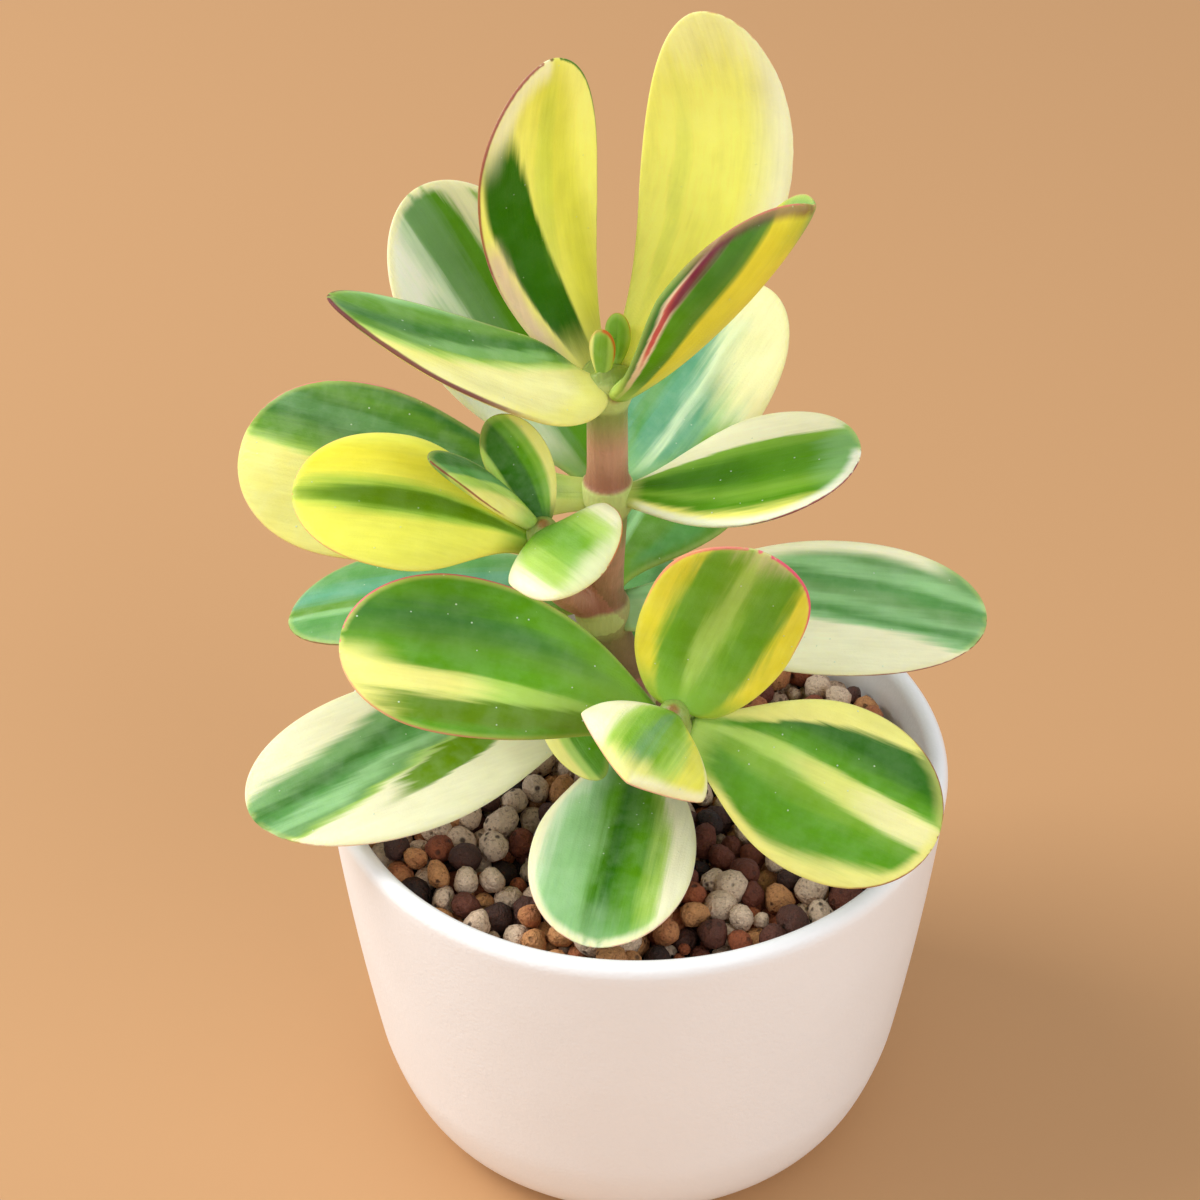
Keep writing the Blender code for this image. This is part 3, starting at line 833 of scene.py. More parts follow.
@dataclass
class Leaf:
    """A fleshy leaf, lofted from its foot at a joint of the stem to its tip.

    Lengths are in millimetres and angles in degrees. The leaf starts along heading and lift, ends
    at its tip, and its upper face looks towards face.
    """

    name: str
    joint: Joint
    heading: float
    lift: float
    tip: Point
    width: float
    face: Pair
    slot: Slot
    look: Look
    reach: float = 0.4
    curl: float = 10.0
    twist: float = 0.0
    rise: float = 0.0
    widest: float = 0.64
    stalk: float = 0.19
    thickness: float = 3.4
    wave: float = 0.35
    rings: int = 64
    sides: int = 44
    sink: float = 1.5
    swell: float = 1.4
    blunt: float = 2.3
    closing: float = 0.5
    edge_closing: float = 5.0
    rib_depth: float = 0.22
    rib_width: float = 0.2
    last_ring: float = 0.992
    wave_turns: Point = (1.1, 0.7, 2.3)
    wave_shares: Point = (1.0, 0.7, 0.25)
    outline_points: int = 240
    seed_step: float = 7.3
    relief: float = 0.00018

    def foot(self) -> np.ndarray:
        """Where the leaf leaves the stem, a little inside the stem's skin."""
        *place, radius = self.joint.value
        swell = Stem.swell * float(np.exp(-((self.rise / Stem.swell_reach) ** 2)))
        lean = 0.4 * self.thickness / 2 * abs(np.sin(np.radians(self.lift)))
        out = radius + swell + 0.3 + lean - self.sink
        return np.array(place) + (0, 0, self.rise) + direction(self.heading, 0) * out

    def half_width(self, along: np.ndarray) -> np.ndarray:
        """Half the width along the leaf.

        From the stalk it swells as a power of a quarter sine up to the widest place, and from
        there it closes as a power of one minus a power of what is left.
        """
        toward = np.clip(along / self.widest, 0, 1)
        beyond = np.clip((along - self.widest) / (1 - self.widest), 0, 1)
        swelling = self.stalk + (1 - self.stalk) * np.sin(np.pi / 2 * toward) ** self.swell
        closing = np.clip(1 - beyond**self.blunt, 0, 1) ** self.closing
        return self.width / 2 * np.where(along < self.widest, swelling, closing)

    def build(self, groups: LeafGroups, seed: int) -> bpy.types.Object:
        """Builds the leaf and dresses it.

        The middle line is a quadratic curve from foot to tip. Across it the leaf is an arc of the
        curl angle, and through it a rounded lens: place across and height are a cosine and a sine.
        A slow wave lifts the two edges, and a shallow trough follows the midrib.

        Args:
            groups: The shader groups that leaves share.
            seed: The leaf's number, from which its wave and its streaks are drawn.

        Returns:
            The leaf's object, which stands for the CAD leaf of the same place.
        """
        foot, tip = self.foot(), np.array(self.tip)
        knee = foot + direction(self.heading, self.lift) * self.reach * np.linalg.norm(tip - foot)
        along = np.sin(np.pi / 2 * np.linspace(0, self.last_ring, self.rings))
        share = along[:, None]
        middle = foot * (1 - share) ** 2 + knee * 2 * share * (1 - share) + tip * share**2
        tangent = unit((knee - foot) * (1 - share) + (tip - knee) * share)
        face = direction(*self.face)
        up = unit(face - tangent * (tangent @ face)[:, None])
        turn = np.radians(self.twist) * (share - 0.5)
        up = up * np.cos(turn) + np.cross(tangent, up) * np.sin(turn)
        side = np.cross(tangent, up)
        half = self.half_width(along)
        lens = self.thickness / 2 * np.sqrt(1 - along**self.edge_closing)
        curl = np.radians(self.curl) * np.minimum(1, 0.15 + along / self.widest)
        across = np.cos(full_turn(self.sides))[None]
        height = np.sin(full_turn(self.sides))[None]
        bend = across * curl[:, None]
        lifted = up[:, None] * np.cos(bend)[..., None] - side[:, None] * np.sin(bend)[..., None]
        radius = (half / curl)[:, None, None]
        blade = (middle[:, None] + side[:, None] * np.sin(bend)[..., None] * radius
                 + up[:, None] * (1 - np.cos(bend))[..., None] * radius)
        trough = self.rib_depth * np.exp(-((across / self.rib_width) ** 2))
        trough = trough * np.sin(np.pi * share) * (height > 0)
        phases = np.random.default_rng(1000 + seed).uniform(0, 2 * np.pi, 3)
        forms = (across * np.abs(across), across**2, across)
        wave = sum(
            strength * np.sin(2 * np.pi * turns * share + phase) * form
            for strength, turns, phase, form in zip(self.wave_shares, self.wave_turns, phases, forms))
        ripple = self.wave * self.width / 24 * np.sin(np.pi * share) * wave
        skin = blade + lifted * (height * lens[:, None] - trough + ripple)[..., None]
        points = np.vstack([skin.reshape(-1, 3), middle[:1], tip[None]])
        piece = make_piece(self.name, points, tube_faces(self.rings, self.sides))
        length = float(np.linalg.norm(np.diff(middle, axis=0), axis=1).sum())
        self.lay_flat(piece.data, along, across, height * lens[:, None], length, seed * self.seed_step)
        piece.data.materials.append(self.finish(groups))
        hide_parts("leaf_" + self.name)
        return piece

    def lay_flat(self, mesh: bpy.types.Mesh, along: np.ndarray, across: np.ndarray, through: np.ndarray,
                 length: float, seed: float) -> None:
        """Stores where each point lies on the leaf laid flat, for its colours to follow.

        The distance from the outline is the shortest to a fine line of points on it, joined at a
        right angle with the height above the leaf's middle.

        Args:
            mesh: The leaf's mesh.
            along: The place along the leaf of each ring, from 0 to 1.
            across: The place across of each point of a ring, from -1 to +1.
            through: The height above the leaf's middle, for each ring and point.
            length: The length of the leaf's middle line.
            seed: Where the leaf's own noise starts.
        """
        half = self.half_width(along)
        flat_x = across * half[:, None]
        flat_y = np.broadcast_to(along[:, None] * length, flat_x.shape)
        line = np.linspace(0, 1, self.outline_points)
        gap_x = np.abs(flat_x).reshape(-1, 1) - self.half_width(line)[None]
        gap_y = flat_y.reshape(-1, 1) - (line * length)[None]
        inset = np.sqrt((gap_x**2 + gap_y**2).min(axis=1) + through.ravel() ** 2)
        closed = np.where(along > self.widest, (half / (self.width / 2)) ** 0.85, 1.0)
        place = np.stack([(across * closed[:, None]).ravel(),
                          np.broadcast_to(along[:, None], flat_x.shape).ravel(), inset], axis=-1)
        height = np.sin(full_turn(self.sides))[None]
        depth = seed + height * 1.2 + np.zeros_like(flat_x)
        flat = np.stack([flat_x.ravel(), flat_y.ravel(), depth.ravel()], axis=-1)
        set_attribute(mesh, "leaf_place", np.vstack([place, [[0, 0, 5.0], [0, 1, 0]]]))
        set_attribute(mesh, "leaf_flat", np.vstack([flat, [[0, 0, seed], [0, length, seed]]]))

    def finish(self, groups: LeafGroups) -> bpy.types.Material:
        """The leaf's skin: its bands, tongues and margins, dressed by the shared groups."""
        look = self.look
        skin = Surface("skin_" + self.name)
        stripes = skin.group(groups.stripes, Wander=look.wander)
        colour: Value = look.bands[0].tint
        for part in (*look.bands[1:], *look.tongues, *look.margins):
            colour = skin.mix(self.mask(skin, groups, stripes, part), colour, part.tint)
        rim = look.rim
        dressed = skin.group(
            groups.skin, Colour=colour, Foot_colour=look.foot, Foot_reach=look.foot_reach,
            Minus_colour=rim.tint, Plus_colour=rim.plus_tint or rim.tint, Rim_minus=rim.minus,
            Rim_plus=rim.plus, Rim_start=rim.start, Rim_width=rim.width, Bloom=look.bloom, Dots=look.dots)
        return skin.dress(
            dressed["Colour"], dressed["Roughness"], (dressed["Height"], self.relief),
            Subsurface_Weight=0.3, Subsurface_Radius=(1.0, 0.9, 0.25), Subsurface_Scale=0.0016,
            Specular_IOR_Level=0.14)

    def mask(self, skin: Surface, groups: LeafGroups, stripes: dict[str, Wire],
             part: Band | Tongue | Margin) -> Wire:
        """Returns how much of a band, tongue or margin shows at each point.

        Args:
            skin: The leaf's material.
            groups: The shader groups that leaves share.
            stripes: What the group of stripes puts out for this leaf.
            part: The band, tongue or margin.

        Returns:
            Its share, from 0 to 1.
        """
        if isinstance(part, Margin):
            return skin.group(groups.margin, Fray=stripes["Fray"], Minus=part.minus, Plus=part.plus,
                              Width=part.width, Start=part.start, End=part.end)["Mask"]
        stripe = stripes["Stripe"]
        lean = self.look.lean if part.lean is None else part.lean
        if isinstance(part, Band):
            return skin.group(groups.band, Stripe=stripe, Start=part.start, Lean=lean,
                              Edge=part.edge / 2)["Mask"]
        patch = skin.group(groups.tongue, Stripe=stripe, Fray=stripes["Fray"], Centre=part.centre, Lean=lean,
                           Half_width=part.half_width, Foot=part.foot, Head=part.head, Edge=part.edge)
        return patch["Mask"] * part.strength


T = Tint

# The leaves from the crown down, with bands from the leaf's -1 edge to its +1 edge
LEAVES = (
    Leaf("crown_upright_left", Joint.CROWN, 136, 46, (-11.8, 5, 191), 20.5, (305, 20), Slot.YELLOW, Look(
        (Band(-1, T.LEMON), Band(0.05, T.CITRON, 0.7), Band(0.75, T.LEMON, 0.4)),
        (Tongue(-0.45, 0.38, -0.2, 0.84, T.DEEP_GREEN, 1.0, 0.25),
         Tongue(0.05, 0.14, 0.3, 0.95, T.FRESH_GREEN, 0.2, 0.9, 0.0)),
        (Margin(T.ROSE_CREAM, 1.0, 0.0, 2.2, -0.2, 0.55), Margin(T.CREAM, 0.9, 0.1, 2.6, 0.66, 1.4)),
        lean=-0.9, wander=0.14, foot=T.BUTTER, foot_reach=0.16,
        # painted shade: the +1 edge's rim is dark spruce green, standing in for the shade on the thick edge
        rim=Rim(T.CRIMSON, 0.85, 0.95, 0.3, 0.24, T.SPRUCE), bloom=0.02, dots=0.35),
        reach=0.5, rise=0.2, widest=0.6, stalk=0.28, swell=1.0),
    Leaf("crown_upright_right", Joint.CROWN, 36, 38, (7.4, 12, 194.4), 22.2, (262, 25), Slot.YELLOW, Look(
        (Band(-1, T.LEMON), Band(0.62, T.CREAM, 0.7)),
        (Tongue(-0.48, 0.12, 0.05, 0.8, T.FRESH_GREEN, 0.2, 0.9),
         Tongue(0.0, 1.3, 0.9, 1.5, T.CREAM, 0.4, 0.8)),
        wander=0.14, foot=T.LEMON, rim=Rim(T.COPPER, 0.0, 0.6, 0.2, 0.12), bloom=0.02, dots=0.2),
        reach=0.63, rise=1.8, widest=0.57, stalk=0.2, swell=1.0, blunt=2.1),
    Leaf("crown_right", Joint.CROWN, 332, 41, (24.5, -6, 174.3), 26.5, (140, 40), Slot.GREEN, Look(
        (Band(-1, T.BUTTER), Band(-0.92, T.YELLOW, 0.08), Band(0.52, T.FERN, 0.08),
         Band(0.64, T.LEAF_GREEN, 0.12), Band(0.80, T.ROSE_CREAM, 0.05), Band(0.91, T.SPRUCE, 0.04)),
        (Tongue(0.855, 0.03, 0.3, 0.8, T.RED, 0.85, 0.7), Tongue(0.84, 0.05, 0.55, 1.1, T.WINE, 0.9, 0.5),
         Tongue(0.72, 0.12, 0.6, 1.2, T.SPRUCE, 0.6, 0.7),
         Tongue(0.45, 0.4, 0.88, 1.4, T.FERN, 0.4, 0.7, -1.2),
         Tongue(-0.5, 0.55, 0.82, 1.4, T.SAGE, 0.9, 0.5)),
        (Margin(T.WINE, 0.0, 0.85, 1.1, 0.6, 1.5),),
        wander=0.08, foot=T.PALE_GREEN, foot_reach=0.2, rim=Rim(T.PINK, 0.3, 0.5, 0.85, 0.2), bloom=0.03,
        dots=0.4),
        curl=65, rise=0.2, stalk=0.3),
    Leaf("crown_left", Joint.CROWN, 232, 12, (-44, -5, 159), 16.8, (270, 78), Slot.GREEN, Look(
        (Band(-1, T.BUTTER), Band(-0.04, T.PALE_GREEN, 0.2), Band(0.12, T.FERN, 0.2),
         Band(0.40, T.SPRUCE, 0.3), Band(0.75, T.FERN, 0.3), Band(1.2, T.MIST_GREEN, 0.4)),
        (Tongue(0.3, 0.14, 0.3, 0.8, T.MIST_GREEN, 0.4, 0.8),
         Tongue(-0.5, 0.5, 0.2, 0.75, T.IVORY, 0.7, 0.9)),
        lean=-1.75, wander=0.24, foot=T.BUTTER, foot_reach=0.2, rim=Rim(T.WINE, 0.9, 0.6, 0.42, 0.28)),
        reach=0.27, curl=18, twist=40, rise=0.7, widest=0.5, stalk=0.35, swell=1.0),
    Leaf("crown_bud_front", Joint.CROWN_TOP, 250, 80, (-5, -1, 150.8), 4.0, (70, 20), Slot.GREEN, Look(
        (Band(-1, T.PALE_GREEN), Band(-0.5, T.MEADOW, 0.3), Band(0.5, T.BUTTER, 0.3)),
        foot=T.PALE_GREEN, rim=Rim(T.COPPER, 0.9, 0.4, 0.4, 0.3), dots=0.0),
        rise=0.3, stalk=0.5, thickness=1.8, sink=0.3),
    Leaf("crown_bud_back", Joint.CROWN_TOP, 40, 70, (-3, 4, 150.5), 4, (250, 20), Slot.GREEN, Look(
        (Band(-1, T.FRESH_GREEN), Band(0.3, T.MEADOW, 0.3)),
        foot=T.PALE_GREEN, rim=Rim(T.COPPER, 0.4, 0.4, 0.6, 0.15), dots=0.0),
        rise=0.9, stalk=0.5, thickness=1.8, sink=0.3),
    Leaf("upper_back_left", Joint.UPPER, 128, 30, (-33.8, 28, 157.2), 28, (300, 44), Slot.BLUE_GREEN, Look(
        (Band(-1, T.MILK), Band(-0.42, T.FROST, 0.2), Band(-0.28, T.SAGE, 0.14),
         Band(-0.02, T.LEAF_GREEN, 0.14), Band(0.30, T.LEAF_GREEN, 0.2), Band(0.52, T.MEADOW, 0.24)),
        (Tongue(-0.55, 0.12, 0.25, 0.75, T.MIST_GREEN, 0.6, 0.8),
         Tongue(-0.1, 0.16, 0.5, 1.1, T.SAGE, 0.7, 0.8), Tongue(0.45, 0.2, 0.7, 1.2, T.CREAM, 0.9, 0.8)),
        (Margin(T.CREAM, 0.9, 0.9, 1.0, 0.3),),
        wander=0.3, foot=T.LEAF_GREEN, foot_reach=0.3, rim=Rim(T.PINK, 0.1, 0.2, 0.7, 0.12), bloom=0.03),
        rise=1.2),
    Leaf("upper_back_right", Joint.UPPER, 50, 20, (20, 34, 136.5), 23, (260, 50), Slot.BLUE_GREEN, Look(
        (Band(-1, T.SEA_GREEN), Band(-0.5, T.BLUE_GREEN, 0.3), Band(-0.32, T.SEA_GREEN, 0.2),
         Band(0.02, T.FROST, 0.16), Band(0.16, T.SEA_GREEN, 0.2), Band(0.4, T.MIST_GREEN, 0.3),
         Band(0.66, T.FROST, 0.3), Band(0.84, T.IVORY, 0.2)),
        (Tongue(0.75, 0.3, 0.0, 0.46, T.MEADOW, 0.8, 0.5), Tongue(0.85, 0.75, 0.5, 1.35, T.IVORY, 0.9, 0.9),
         Tongue(0.0, 1.4, 0.84, 1.4, T.IVORY, 0.85, 0.6)),
        lean=-0.35, wander=0.36, foot=T.MIST_GREEN, rim=Rim(T.PINK, 0.0, 0.25, 0.7, 0.12), bloom=0.12),
        widest=0.42, swell=0.9, blunt=2.8),
    Leaf("upper_right", Joint.UPPER, 345, 17, (33, -4, 131.7), 21.7, (270, 78), Slot.GREEN, Look(
        (Band(-1, T.CREAM), Band(-0.50, T.FRESH_GREEN, 0.08), Band(-0.3, T.LEAF_GREEN, 0.3),
         Band(0.36, T.FRESH_GREEN, 0.3), Band(0.56, T.LEAF_GREEN, 0.2), Band(0.78, T.LEMON, 0.2)),
        (Tongue(0.0, 0.24, 0.05, 0.6, T.DEEP_GREEN, 0.45, 0.9),
         Tongue(0.1, 0.7, 0.86, 1.3, T.MIST_GREEN, 0.6, 0.7)),
        (Margin(T.MILK, 0.0, 1.0, 1.1),),
        wander=0.26, foot_reach=0.1, rim=Rim(T.CRIMSON, 0.1, 0.9, 0.5, 0.16), bloom=0.02, dots=0.9),
        swell=1.2),
    Leaf("upper_left", Joint.UPPER, 187, 4, (-60.5, 8, 123.8), 27, (270, 40), Slot.GREEN, Look(
        (Band(-1, T.BUTTER), Band(-0.05, T.PALE_GREEN, 0.16), Band(0.04, T.FERN, 0.16),
         Band(0.22, T.SPRUCE, 0.2), Band(0.6, T.FERN, 0.3), Band(0.85, T.SPRUCE, 0.2)),
        (Tongue(0.42, 0.12, 0.2, 1.0, T.MIST_GREEN, 0.25, 0.8),),
        lean=0.5, wander=0.26, rim=Rim(T.PINK, 0.3, 0.8, 0.5, 0.16), bloom=0.12, dots=0.8),
        widest=0.72, swell=2.0),
    Leaf("middle_left", Joint.MIDDLE, 175, 0, (-56, 14, 87), 23, (270, 85), Slot.BLUE_GREEN, Look(
        (Band(-1, T.SAGE), Band(-0.72, T.BLUE_GREEN, 0.3), Band(-0.3, T.MIST_GREEN, 0.2),
         Band(-0.2, T.FERN, 0.2), Band(0.06, T.SEA_GREEN, 0.3), Band(0.42, T.BLUE_GREEN, 0.3),
         Band(0.8, T.SAGE, 0.3)),
        wander=0.3, foot=T.FRESH_GREEN, rim=Rim(T.CRIMSON, 0.7, 0.3, 0.5, 0.14)),
        rise=3, stalk=0.3, swell=1.0),
    Leaf("middle_right", Joint.MIDDLE, 0, 5, (55, 4, 93.5), 23, (270, 60), Slot.BLUE_GREEN, Look(
        (Band(-1, T.SAGE), Band(-0.82, T.MIST_GREEN, 0.16), Band(-0.62, T.BLUE_GREEN, 0.14),
         Band(-0.42, T.SAGE, 0.18), Band(-0.26, T.MIST_GREEN, 0.18), Band(-0.12, T.BLUE_GREEN, 0.2),
         Band(0.02, T.MIST_GREEN, 0.14), Band(0.12, T.CREAM, 0.14)),
        margins=(Margin(T.CREAM, 1.0, 0.0, 2.0, 0.1, 0.94),),
        lean=1.0, wander=0.26, foot=T.MIST_GREEN, rim=Rim(T.CRIMSON, 0.1, 0.85, 0.6, 0.16)),
        stalk=0.3),
    Leaf("middle_back", Joint.MIDDLE, 70, 10, (12, 42, 105), 28, (260, 70), Slot.BLUE_GREEN, Look(
        (Band(-1, T.PALE_GREEN), Band(-0.8, T.BLUE_GREEN, 0.2), Band(-0.2, T.MIST_GREEN, 0.14),
         Band(-0.06, T.FERN, 0.14), Band(0.5, T.BLUE_GREEN, 0.3), Band(0.85, T.FERN, 0.2)),
        wander=0.25, foot=T.FRESH_GREEN, rim=Rim(T.PINK, 0.2, 0.2, 0.6, 0.12), bloom=0.08),
        rise=3.6, stalk=0.17, swell=1.7),
    Leaf("middle_front", Joint.MIDDLE, 225, -15, (-5.2, -20, 81.6), 9, (230, 65), Slot.GREEN, Look(
        (Band(-1, T.LEAF_GREEN), Band(0.2, T.PALE_GREEN, 0.2), Band(0.5, T.BUTTER, 0.2)),
        foot=T.PALE_GREEN, rim=Rim(T.CRIMSON, 0.2, 0.2, 0.6, 0.12)),
        reach=0.55, rise=-2.5, stalk=0.3),
    Leaf("lower_left", Joint.LOWER, 205, 0, (-58.8, -26.5, 79.4), 27.5, (268, 68), Slot.CREAM, Look(
        (Band(-1, T.CREAM), Band(-0.06, T.PALE_GREEN, 0.1), Band(0.0, T.SAGE, 0.14),
         Band(0.12, T.MIST_GREEN, 0.14), Band(0.27, T.BLUE_GREEN, 0.14), Band(0.40, T.SPRUCE, 0.2),
         Band(0.56, T.SAGE, 0.24), Band(0.84, T.CREAM, 0.24)),
        (Tongue(-0.24, 0.2, 0.16, 0.68, T.OLIVE_GREEN, 1.0, 0.3),),
        lean=-1.2, wander=0.3, foot=T.CREAM, rim=Rim(T.PINK, 0.35, 0.15, 0.7, 0.14))),
    Leaf("lower_front", Joint.ROOT, 266, 8, (-7, -44, 69), 25.5, (270, 80), Slot.BLUE_GREEN, Look(
        (Band(-1, T.CREAM), Band(-0.66, T.PALE_GREEN, 0.16), Band(-0.54, T.LEAF_GREEN, 0.2),
         Band(-0.2, T.DEEP_GREEN, 0.4), Band(0.12, T.LEAF_GREEN, 0.3), Band(0.36, T.SAGE, 0.24),
         Band(0.54, T.MIST_GREEN, 0.2), Band(0.70, T.FROST, 0.2), Band(0.86, T.CREAM, 0.16)),
        (Tongue(0.5, 0.3, 0.55, 1.2, T.MIST_GREEN, 0.7, 0.8),
         Tongue(0.3, 1.0, 0.88, 1.4, T.MIST_GREEN, 0.6, 0.7)),
        (Margin(T.CREAM, 0.8, 0.8, 1.0, 0.0),),
        wander=0.3, foot=T.PALE_GREEN, rim=Rim(T.PINK, 0.5, 0.5, 0.8, 0.16)),
        widest=0.7, swell=1.8),
    Leaf("lower_back", Joint.LOWER, 90, 10, (5.5, 43.5, 76), 22, (290, 80), Slot.BLUE_GREEN, Look(
        (Band(-1, T.FERN), Band(-0.75, T.BLUE_GREEN, 0.2), Band(-0.1, T.SPRUCE, 0.3),
         Band(0.4, T.BLUE_GREEN, 0.3), Band(0.8, T.FERN, 0.2)),
        wander=0.25, rim=Rim(T.PINK, 0.3, 0.3, 0.6, 0.12))),
    Leaf("left_shoot_outer", Joint.LEFT_FORK, 185, 36, (-50.4, -12, 129.4), 22, (270, 60), Slot.YELLOW, Look(
        (Band(-1, T.CITRON), Band(0.3, T.YELLOW, 0.6), Band(0.8, T.CITRON, 0.3)),
        (Tongue(0.0, 0.24, -0.05, 1.0, T.FRESH_GREEN, 0.9, 0.9),
         Tongue(0.0, 0.15, -0.05, 0.98, T.MOSS, 1.0, 0.7)),
        foot=T.MEADOW, foot_reach=0.2, rim=Rim(T.PINK, 0.5, 0.7, 0.72, 0.16), bloom=0.03, dots=0.4),
        swell=1.8),
    Leaf("left_shoot_small", Joint.LEFT_TIP, 180, 48, (-30, -15, 137.8), 7.2, (270, 76), Slot.GREEN, Look(
        (Band(-1, T.BUTTER), Band(-0.4, T.PALE_GREEN, 0.4), Band(0.2, T.BLUE_GREEN, 0.2),
         Band(0.7, T.SPRUCE, 0.3)),
        lean=-2.3, wander=0.2, foot=T.MEADOW, foot_reach=0.3, rim=Rim(T.CRIMSON, 0.8, 0.3, 0.3, 0.14),
        dots=0.5),
        curl=20, rise=1.4, stalk=0.3, swell=1.0, thickness=2.6),
    Leaf("left_shoot_upright", Joint.LEFT_TIP, 99, 44, (-22, -6, 138.3), 9.8, (290, 25), Slot.GREEN, Look(
        (Band(-1, T.PALE_GREEN), Band(-0.76, T.DEEP_GREEN, 0.16), Band(0.02, T.LEAF_GREEN, 0.16),
         Band(0.3, T.FRESH_GREEN, 0.2), Band(0.62, T.BUTTER, 0.2)),
        wander=0.2, foot=T.DEEP_GREEN, rim=Rim(T.CRIMSON, 0.3, 0.6, 0.5, 0.12), dots=0.4),
        stalk=0.3, swell=1.1, thickness=2.6),
    Leaf("left_shoot_front", Joint.LEFT_TIP, 285, 30, (-5.2, -21, 121.5), 19.5, (225, 70), Slot.GREEN, Look(
        (Band(-1, T.CREAM), Band(-0.72, T.PALE_GREEN, 0.3), Band(-0.4, T.FRESH_GREEN, 0.4),
         Band(0.3, T.PALE_GREEN, 0.3), Band(0.68, T.CREAM, 0.3)),
        (Tongue(-0.1, 0.2, 0.1, 0.8, T.LEAF_GREEN, 0.5, 0.9), Tongue(0.0, 1.3, 0.84, 1.5, T.CREAM, 0.7, 0.8)),
        wander=0.34, foot=T.LEAF_GREEN, foot_reach=0.42, rim=Rim(T.COPPER, 0.9, 0.1, 0.3, 0.2), dots=0.7),
        widest=0.5, blunt=3.0, stalk=0.3, swell=1.0),
    Leaf("front_shoot_upright", Joint.FRONT_TIP, 55, 50, (17.4, -28, 131), 23.5, (270, 15), Slot.GREEN, Look(
        (Band(-1, T.YELLOW), Band(-0.66, T.FRESH_GREEN, 0.2), Band(-0.4, T.MEADOW, 0.3),
         Band(-0.12, T.PALE_GREEN, 0.2), Band(0.10, T.FRESH_GREEN, 0.2), Band(0.45, T.MEADOW, 0.3),
         Band(0.68, T.YELLOW, 0.2)),
        (Tongue(-0.4, 0.2, 0.2, 1.0, T.LEAF_GREEN, 0.5, 0.9),
         Tongue(0.42, 0.2, 0.3, 1.0, T.LEAF_GREEN, 0.6, 0.9),
         Tongue(-0.02, 0.1, 0.1, 1.0, T.PALE_GREEN, 0.6, 0.9),
         Tongue(0.25, 0.5, 0.93, 1.4, T.ROSE_CREAM, 0.6, 0.8)),
        (Margin(T.YELLOW, 1.0, 0.8, 1.3, -0.2, 0.9),),
        wander=0.28, foot=T.FRESH_GREEN, rim=Rim(T.PINK, 0.7, 0.95, 0.55, 0.26), bloom=0.05, dots=1.0),
        rise=-0.6, widest=0.52, stalk=0.3, swell=0.6, blunt=3.4),
    Leaf("front_shoot_left", Joint.FRONT_FORK, 175, 38, (-44, -21, 109.3), 24, (268, 48), Slot.GREEN, Look(
        (Band(-1, T.LEAF_GREEN), Band(-0.88, T.MOSS, 0.16), Band(-0.5, T.FRESH_GREEN, 0.1),
         Band(-0.3, T.LEAF_GREEN, 0.3), Band(0.1, T.FERN, 0.4), Band(0.3, T.SPRUCE, 0.4),
         Band(0.6, T.LEAF_GREEN, 0.3)),
        (Tongue(-0.40, 0.13, 0.2, 0.9, T.PALE_GREEN, 0.9, 0.9),
         Tongue(-0.39, 0.17, 0.6, 1.2, T.BUTTER, 1.0, 0.9),
         Tongue(-0.55, 0.55, 0.86, 1.4, T.BUTTER, 1.0, 0.7)),
        (Margin(T.BUTTER, 0.1, 0.3, 0.7, 0.3),),
        wander=0.24, foot=T.MEADOW, foot_reach=0.55, rim=Rim(T.PINK, 0.5, 0.95, 0.5, 0.24), bloom=0.06,
        dots=0.9),
        widest=0.7),
    Leaf("front_shoot_right", Joint.FRONT_FORK, 0, -32, (45, -34, 82), 27.5, (270, 50), Slot.GREEN, Look(
        (Band(-1, T.BUTTER), Band(-0.71, T.DEEP_GREEN, 0.08, -0.3), Band(-0.54, T.LEAF_GREEN, 0.3),
         Band(-0.33, T.PALE_GREEN, 0.14), Band(-0.04, T.MEADOW, 0.16, 0.62),
         Band(0.2, T.LEAF_GREEN, 0.3, 0.3), Band(0.86, T.BUTTER, 0.24, -0.5)),
        (Tongue(-0.18, 0.15, 0.45, 1.2, T.BUTTER, 0.7, 0.9, 0.56),
         Tongue(-0.16, 0.17, 0.72, 1.3, T.IVORY, 0.8, 0.9, 0.56)),
        (Margin(T.BUTTER, 0.3, 1.0, 1.2, 0.1),),
        lean=0.5, foot=T.PALE_GREEN, foot_reach=0.16, rim=Rim(T.CRIMSON, 0.85, 0.85, 0.75, 0.2), bloom=0.06,
        dots=0.8)),
    Leaf("front_shoot_front", Joint.FRONT_TIP, 260, 40, (-1.5, -47, 104.2), 22.5, (0, 60), Slot.CREAM, Look(
        (Band(-1, T.CITRON), Band(-0.5, T.PALE_GREEN, 0.24), Band(-0.34, T.MEADOW, 0.24),
         Band(-0.1, T.SAGE, 0.2), Band(0.12, T.FRESH_GREEN, 0.2), Band(0.36, T.PALE_GREEN, 0.2),
         Band(0.54, T.CREAM, 0.24)),
        (Tongue(0.0, 1.2, 0.82, 1.4, T.BUTTER, 0.9, 0.7),),
        (Margin(T.CREAM, 0.8, 0.2, 1.2),),
        wander=0.34, foot=T.MEADOW, rim=Rim(T.PINK, 0.5, 0.5, 0.6, 0.16), bloom=0.08, dots=0.7),
        curl=-24, blunt=1.3, closing=0.8),
)


@dataclass
class Foliage:
    """All the leaves of the plant."""

    leaves: tuple[Leaf, ...] = LEAVES

    def build(self) -> list[bpy.types.Object]:
        """Builds every leaf; its number in the list seeds its wave and its streaks."""
        groups = LeafGroups()
        return [leaf.build(groups, seed) for seed, leaf in enumerate(self.leaves)]


# Pot

